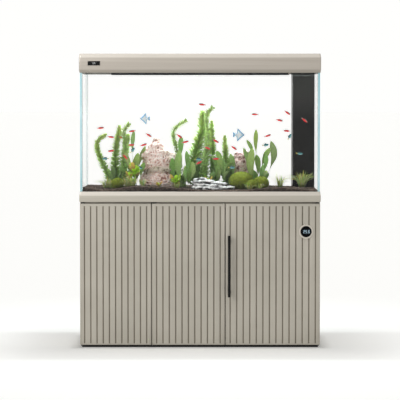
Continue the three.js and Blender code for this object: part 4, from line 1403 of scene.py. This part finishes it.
# Each rosette: its place, its stem's height, its leaves' length, how many it has and their main colour.
ROSETTES = [
    (-0.33, -0.085, 0.075, 0.062, 16, LIME),
    (-0.125, -0.09, 0.03, 0.056, 14, LIME),
    (0.042, -0.03, 0.035, 0.04, 10, GOLD),
    (-0.21, -0.1, 0.004, 0.034, 9, GOLD),
    (-0.36, -0.07, 0.05, 0.04, 8, GOLD),
]


def around(angle):
    """A level direction at this angle."""
    return Vector((math.cos(angle), math.sin(angle), 0))


def grass_tufts(height, rng):
    """Tufts of thin bent blades, kept clear of the right pane and the weir."""
    tufts = Shape()
    right, back = TANK_RIGHT - 4 * MM, WEIR_FRONT - 4 * MM
    for x, y, tall, blades in TUFTS:
        base = height(x, y)
        for _ in range(blades):
            a, lean = rng.uniform(0, 2 * math.pi), rng.uniform(0.1, 1)
            out = around(a)
            root = Vector((x, y, base)) + out * rng.uniform(0, 0.016)
            size = tall * rng.uniform(0.6, 1.1)
            middle = root + out * (size * lean * 0.45) + UP * (size * 0.56)
            tip = root + out * (size * lean) + UP * (size * (1.05 - 0.5 * lean))
            spine = [Vector((min(p.x, right), min(p.y, back), p.z)) for p in (root, middle, tip)]
            green = (222 + rng.randint(-34, 30), 244 + rng.randint(-30, 11), 138 + rng.randint(-36, 44))
            leaf(tufts, spine, 1.2 * MM, green, 0.02, 0.1, out + UP, 4, 6)
    look = tinted("grass_blades", 0.5, relief=0.0002, scale=300, translucent=0.3)
    tufts.piece("grass_tufts", look, "root", "plants")


def rosette_plants(height, rng):
    """Small bright plants whose leaves wind up around a short stem."""
    rosettes = Shape()
    for x, y, stem, size, count, main in ROSETTES:
        foot = Vector((x, y, height(x, y) - ROOT_DEPTH))
        crown = foot + UP * stem
        rosettes.tube([foot, foot + UP * (stem * 0.5), crown + UP * MM], 1.6 * MM, (132, 160, 60))
        for n in range(count):
            out = around(2.4 * n + rng.uniform(-0.3, 0.3))
            tall = size * (0.55 + 0.45 * n / count)
            steep = 0.35 + 0.55 * n / count
            root = crown - UP * (stem * 0.3 * (1 - n / count))
            middle = root + out * (tall * 0.4) + UP * (tall * 0.5 * steep)
            tip = root + out * (tall * (1.05 - 0.5 * steep)) + UP * (tall * steep)
            fresh = main if n % 3 else (GOLD if main is LIME else LIME)
            leaf(rosettes, [root, middle, tip], size * 0.2, fresh, 0.15, 0.3, UP - out * 0.6, 8, 8)
    look = tinted("rosette_leaf", 0.42, relief=0.0003, translucent=0.3)
    rosettes.piece("rosette_plants", look, "root", "plants")


def grasses(height):
    """Low tufts and small bright rosettes on the gravel."""
    rng = random.Random(5)
    grass_tufts(height, rng)
    rosette_plants(height, rng)


# Each moss ball: its place, its half-width and its half-height.
MOSS_BALLS = [
    (0.21, -0.06, 0.062, 0.046), (0.31, -0.075, 0.04, 0.032), (0.262, -0.1, 0.034, 0.025),
    (-0.418, -0.075, 0.031, 0.027), (-0.355, -0.06, 0.026, 0.022),
]


def moss(height):
    """Moss balls: a felted lump under a coat of short threads."""
    rng = random.Random(8)
    shape = Shape()
    for x, y, radius, tall in MOSS_BALLS:
        centre = Vector((x, y, height(x, y) + tall * 0.82))
        skin = ball((1, 1, 1), (0, 0, 0), 5)
        points, tints = [], []
        for v in skin.vertices:
            out = v.co.normalized()
            felt = noise.fractal(out * 9 + centre * 30, 0.8, 2.3, 4)
            reach = 1 + 0.05 * felt + 0.04 * noise.noise(out * 3 + centre * 20)
            points.append(centre + Vector((out.x * radius, out.y * radius, out.z * tall)) * reach)
            # Painted light: the felt is lighter towards the top, over its own random mottle.
            light = 0.78 + 0.3 * felt + 0.16 * out.z
            tints.append(tuple(min(255, max(0, c * light)) for c in (134, 150, 34)))
        shape.add(points, [tuple(f.vertices) for f in skin.polygons], tints)
        for _ in range(1500):
            out = Vector([rng.gauss(0, 1) for _ in range(3)]).normalized()
            root = centre + Vector((out.x * radius, out.y * radius, out.z * tall)) * 0.99
            bend = (out + Vector([rng.uniform(-0.6, 0.6) for _ in range(3)])).normalized()
            # Painted light: threads towards the top are lighter, over a random spread of tone.
            shade = rng.uniform(0.75, 1.3) * (0.9 + 0.2 * out.z)
            tint = tuple(min(255, c * shade) for c in (158, 176, 50))
            needle(shape, root, bend, rng.uniform(2.4, 5) * MM, 0.5 * MM, tint)
    shape.piece("moss_balls", tinted("moss_felt", 0.9, relief=0.0008, scale=500), "root", "plants")


# ---- fish ----
def fish_body(shape, place, heading, size, outline, thick, paint, fins):
    """A fish lofted nose to tail. outline is (share of length, half-height), in lengths, and paint gives
    a colour for (share, height from -1 to 1). heading is a turn about Y, then about Z."""
    pitch, turn = heading
    aim = Matrix.Rotation(turn, 3, "Z") @ Matrix.Rotation(pitch, 3, "Y")
    sway = 0.03 * size
    rings, tints = [], []
    for share, half in outline:
        bend = sway * math.sin(share * 4)
        ring = []
        for a in turns(12):
            y, z = bend + thick * half * size * math.cos(a), half * size * math.sin(a)
            ring.append(place + aim @ Vector(((0.5 - share) * size, y, z)))
            tints.append(paint(share, math.sin(a)))
        rings.append(ring)
    shape.loft(rings, tints)
    for corners, tint in fins:
        thin = 0.012 * size
        bend = sway * math.sin(4 * (0.5 - corners[0][0]))
        front = [place + aim @ Vector((x * size, bend - thin / 2, z * size)) for x, z in corners]
        rear = [place + aim @ Vector((x * size, bend + thin / 2, z * size)) for x, z in corners]
        n = len(corners)
        faces = [tuple(range(n)), tuple(range(2 * n - 1, n - 1, -1))]
        faces += [(i, n + i, n + (i + 1) % n, (i + 1) % n) for i in range(n)]
        shape.add(front + rear, faces, tint)


TETRA_OUTLINE = [
    (0, 0.015), (0.05, 0.075), (0.16, 0.125), (0.32, 0.155),
    (0.5, 0.14), (0.68, 0.1), (0.82, 0.058), (0.86, 0.052),
]
DEEP_OUTLINE = [
    (0, 0.015), (0.06, 0.09), (0.18, 0.17), (0.36, 0.21),
    (0.55, 0.18), (0.72, 0.1), (0.84, 0.055), (0.88, 0.05),
]


def tetra_paint(share, rise):
    """Red, with a dark back and a teal stripe over the front half."""
    if rise > 0.8:
        return (84, 96, 88)
    if rise > 0.3 and share < 0.5:
        return (60, 160, 150)
    return (248, 26, 34) if share > 0.08 else (206, 110, 96)


def teal_paint(share, rise):
    """Teal, darker above and paler below, with a yellow tail."""
    if share > 0.8:
        return (214, 200, 90)
    return (28, 74, 78) if rise > 0.4 else (44, 142, 150) if rise > -0.4 else (150, 200, 200)


# Where each fish swims: x, height, depth, pitch and turn in degrees. A turn of 180 swims to the left.
TETRAS = [
    (-0.51, 1.1, 0.0, -6, 0), (-0.455, 1.055, -0.05, 4, 0), (-0.4, 1.05, 0.02, 24, 0),
    (-0.345, 1.085, -0.04, 6, 180), (-0.262, 1.065, -0.06, 30, 0), (-0.45, 0.985, -0.08, 6, 180),
    (-0.35, 1.015, -0.08, -8, 0), (-0.287, 1.015, -0.08, -18, 0), (-0.38, 0.955, -0.08, 40, 0),
    (-0.105, 1.06, -0.08, 34, 0), (-0.075, 1.03, -0.08, -14, 0), (0.012, 1.22, 0.0, -8, 180),
    (0.08, 1.035, -0.08, 28, 0), (0.038, 1.0, -0.09, 18, 0), (0.082, 0.945, -0.09, -4, 180),
    (-0.006, 0.925, -0.09, -30, 0), (0.172, 1.0, -0.07, 34, 0), (0.282, 1.17, 0.0, -4, 180),
    (0.405, 1.14, -0.03, 12, 0), (0.445, 1.178, -0.05, 34, 0), (0.446, 1.085, 0.0, -6, 180),
    (0.347, 1.06, 0.02, -18, 0), (0.535, 1.14, -0.02, 36, 0),
]
TEALS = [
    (-0.48, 0.945, -0.06, 0, 180), (-0.308, 0.9, -0.1, 10, 0), (-0.01, 0.942, -0.1, 0, 0),
    (0.16, 0.9, -0.09, 0, 0), (0.335, 1.013, -0.02, -4, 0), (0.508, 0.97, -0.03, 4, 0),
    (0.46, 1.055, 0.02, -58, 0), (-0.342, 0.988, -0.09, -50, 0),
]


RED_FINS = [
    ([(-0.34, 0.03), (-0.52, 0.11), (-0.46, 0), (-0.52, -0.11), (-0.34, -0.03)], (214, 186, 178)),
    ([(0.08, 0.12), (-0.02, 0.2), (-0.1, 0.1)], (205, 214, 208)),
    ([(-0.02, -0.11), (-0.14, -0.18), (-0.22, -0.07)], (216, 120, 110)),
]
GOLD_FINS = [
    ([(-0.36, 0.04), (-0.54, 0.15), (-0.48, 0), (-0.54, -0.15), (-0.36, -0.04)], (218, 204, 96)),
    ([(0.12, 0.18), (-0.04, 0.29), (-0.2, 0.16)], (34, 96, 98)),
    ([(0.02, -0.18), (-0.1, -0.28), (-0.24, -0.14)], (40, 110, 112)),
]
# Each angelfish: x, height, depth, turn in degrees and length.
ANGELS = [(0.197, 1.065, -0.05, 0, 0.062), (-0.282, 1.147, 0.02, 180, 0.054)]


def fish():
    """A shoal of red tetras, some teal fish and two angelfish."""
    tetras, teals, angels = Shape(), Shape(), Shape()
    for shape, school, size, outline, thick, paint, fins in (
        (tetras, TETRAS, 0.037, TETRA_OUTLINE, 0.5, tetra_paint, RED_FINS),
        (teals, TEALS, 0.034, DEEP_OUTLINE, 0.45, teal_paint, GOLD_FINS),
    ):
        for x, z, y, pitch, turn in school:
            heading = (math.radians(pitch), math.radians(turn))
            fish_body(shape, Vector((x, y, z)), heading, size, outline, thick, paint, fins)
    scales = tinted("fish_scales", 0.3, coat=0.4, relief=0.0002, scale=700)
    tetras.piece("red_tetras", scales, "root", "plants")
    teals.piece("teal_fish", scales, "root", "plants")
    for x, z, y, turn, size in ANGELS:
        angelfish(angels, Vector((x, y, z)), math.radians(turn), size)
    look = tinted("angel_skin", 0.25, coat=0.3, relief=0.0002, scale=300)
    angels.piece("blue_angelfish", look.see_through((232, 246, 252), 0.88), "root", "plants")


ANGEL_OUTLINE = [
    (0.5, 0.0), (0.38, 0.1), (0.2, 0.27), (0.02, 0.46), (-0.08, 0.58),
    (-0.1, 0.44), (-0.14, 0.22), (-0.22, 0.07), (-0.36, 0.1), (-0.48, 0.24),
    (-0.44, 0.0), (-0.48, -0.2), (-0.34, -0.08), (-0.22, -0.07), (-0.16, -0.22),
    (-0.14, -0.44), (-0.1, -0.56), (0.02, -0.42), (0.2, -0.24), (0.38, -0.1),
]
# From the rim to the middle: the outline's scale, half the body's thickness, both in lengths, and a colour.
ANGEL_RINGS = [
    (1.0, 0.008, (2, 96, 190)),
    (0.82, 0.05, (150, 214, 242)),
    (0.45, 0.085, (250, 254, 255)),
    (0.02, 0.1, (252, 255, 255)),
]


def angelfish(shape, place, turn, size):
    """A flat, tall fish with swept fins, pale in the middle and blue along its edges."""
    spin = Matrix.Rotation(turn, 3, "Z")
    near = [[(x * inset, thick, z * inset) for x, z in ANGEL_OUTLINE] for inset, thick, _ in ANGEL_RINGS]
    far = [[(x, -y, z) for x, y, z in ring] for ring in reversed(near)]
    colours = [colour for _, _, colour in ANGEL_RINGS]
    rings = [[place + spin @ (Vector(p) * size) for p in ring] for ring in far + near]
    shape.loft(rings, list(reversed(colours)) + colours)


camera()
studio()
cabinet()
hood_and_trim()
panes()
seams()
display_digits()
badge_mark()
fittings()
filter_pieces()
filter_floss()
bio_rings()
water_surfaces()
GROUND = gravel()
rocks(GROUND)
plants(GROUND)
grasses(GROUND)
moss(GROUND)
fish()
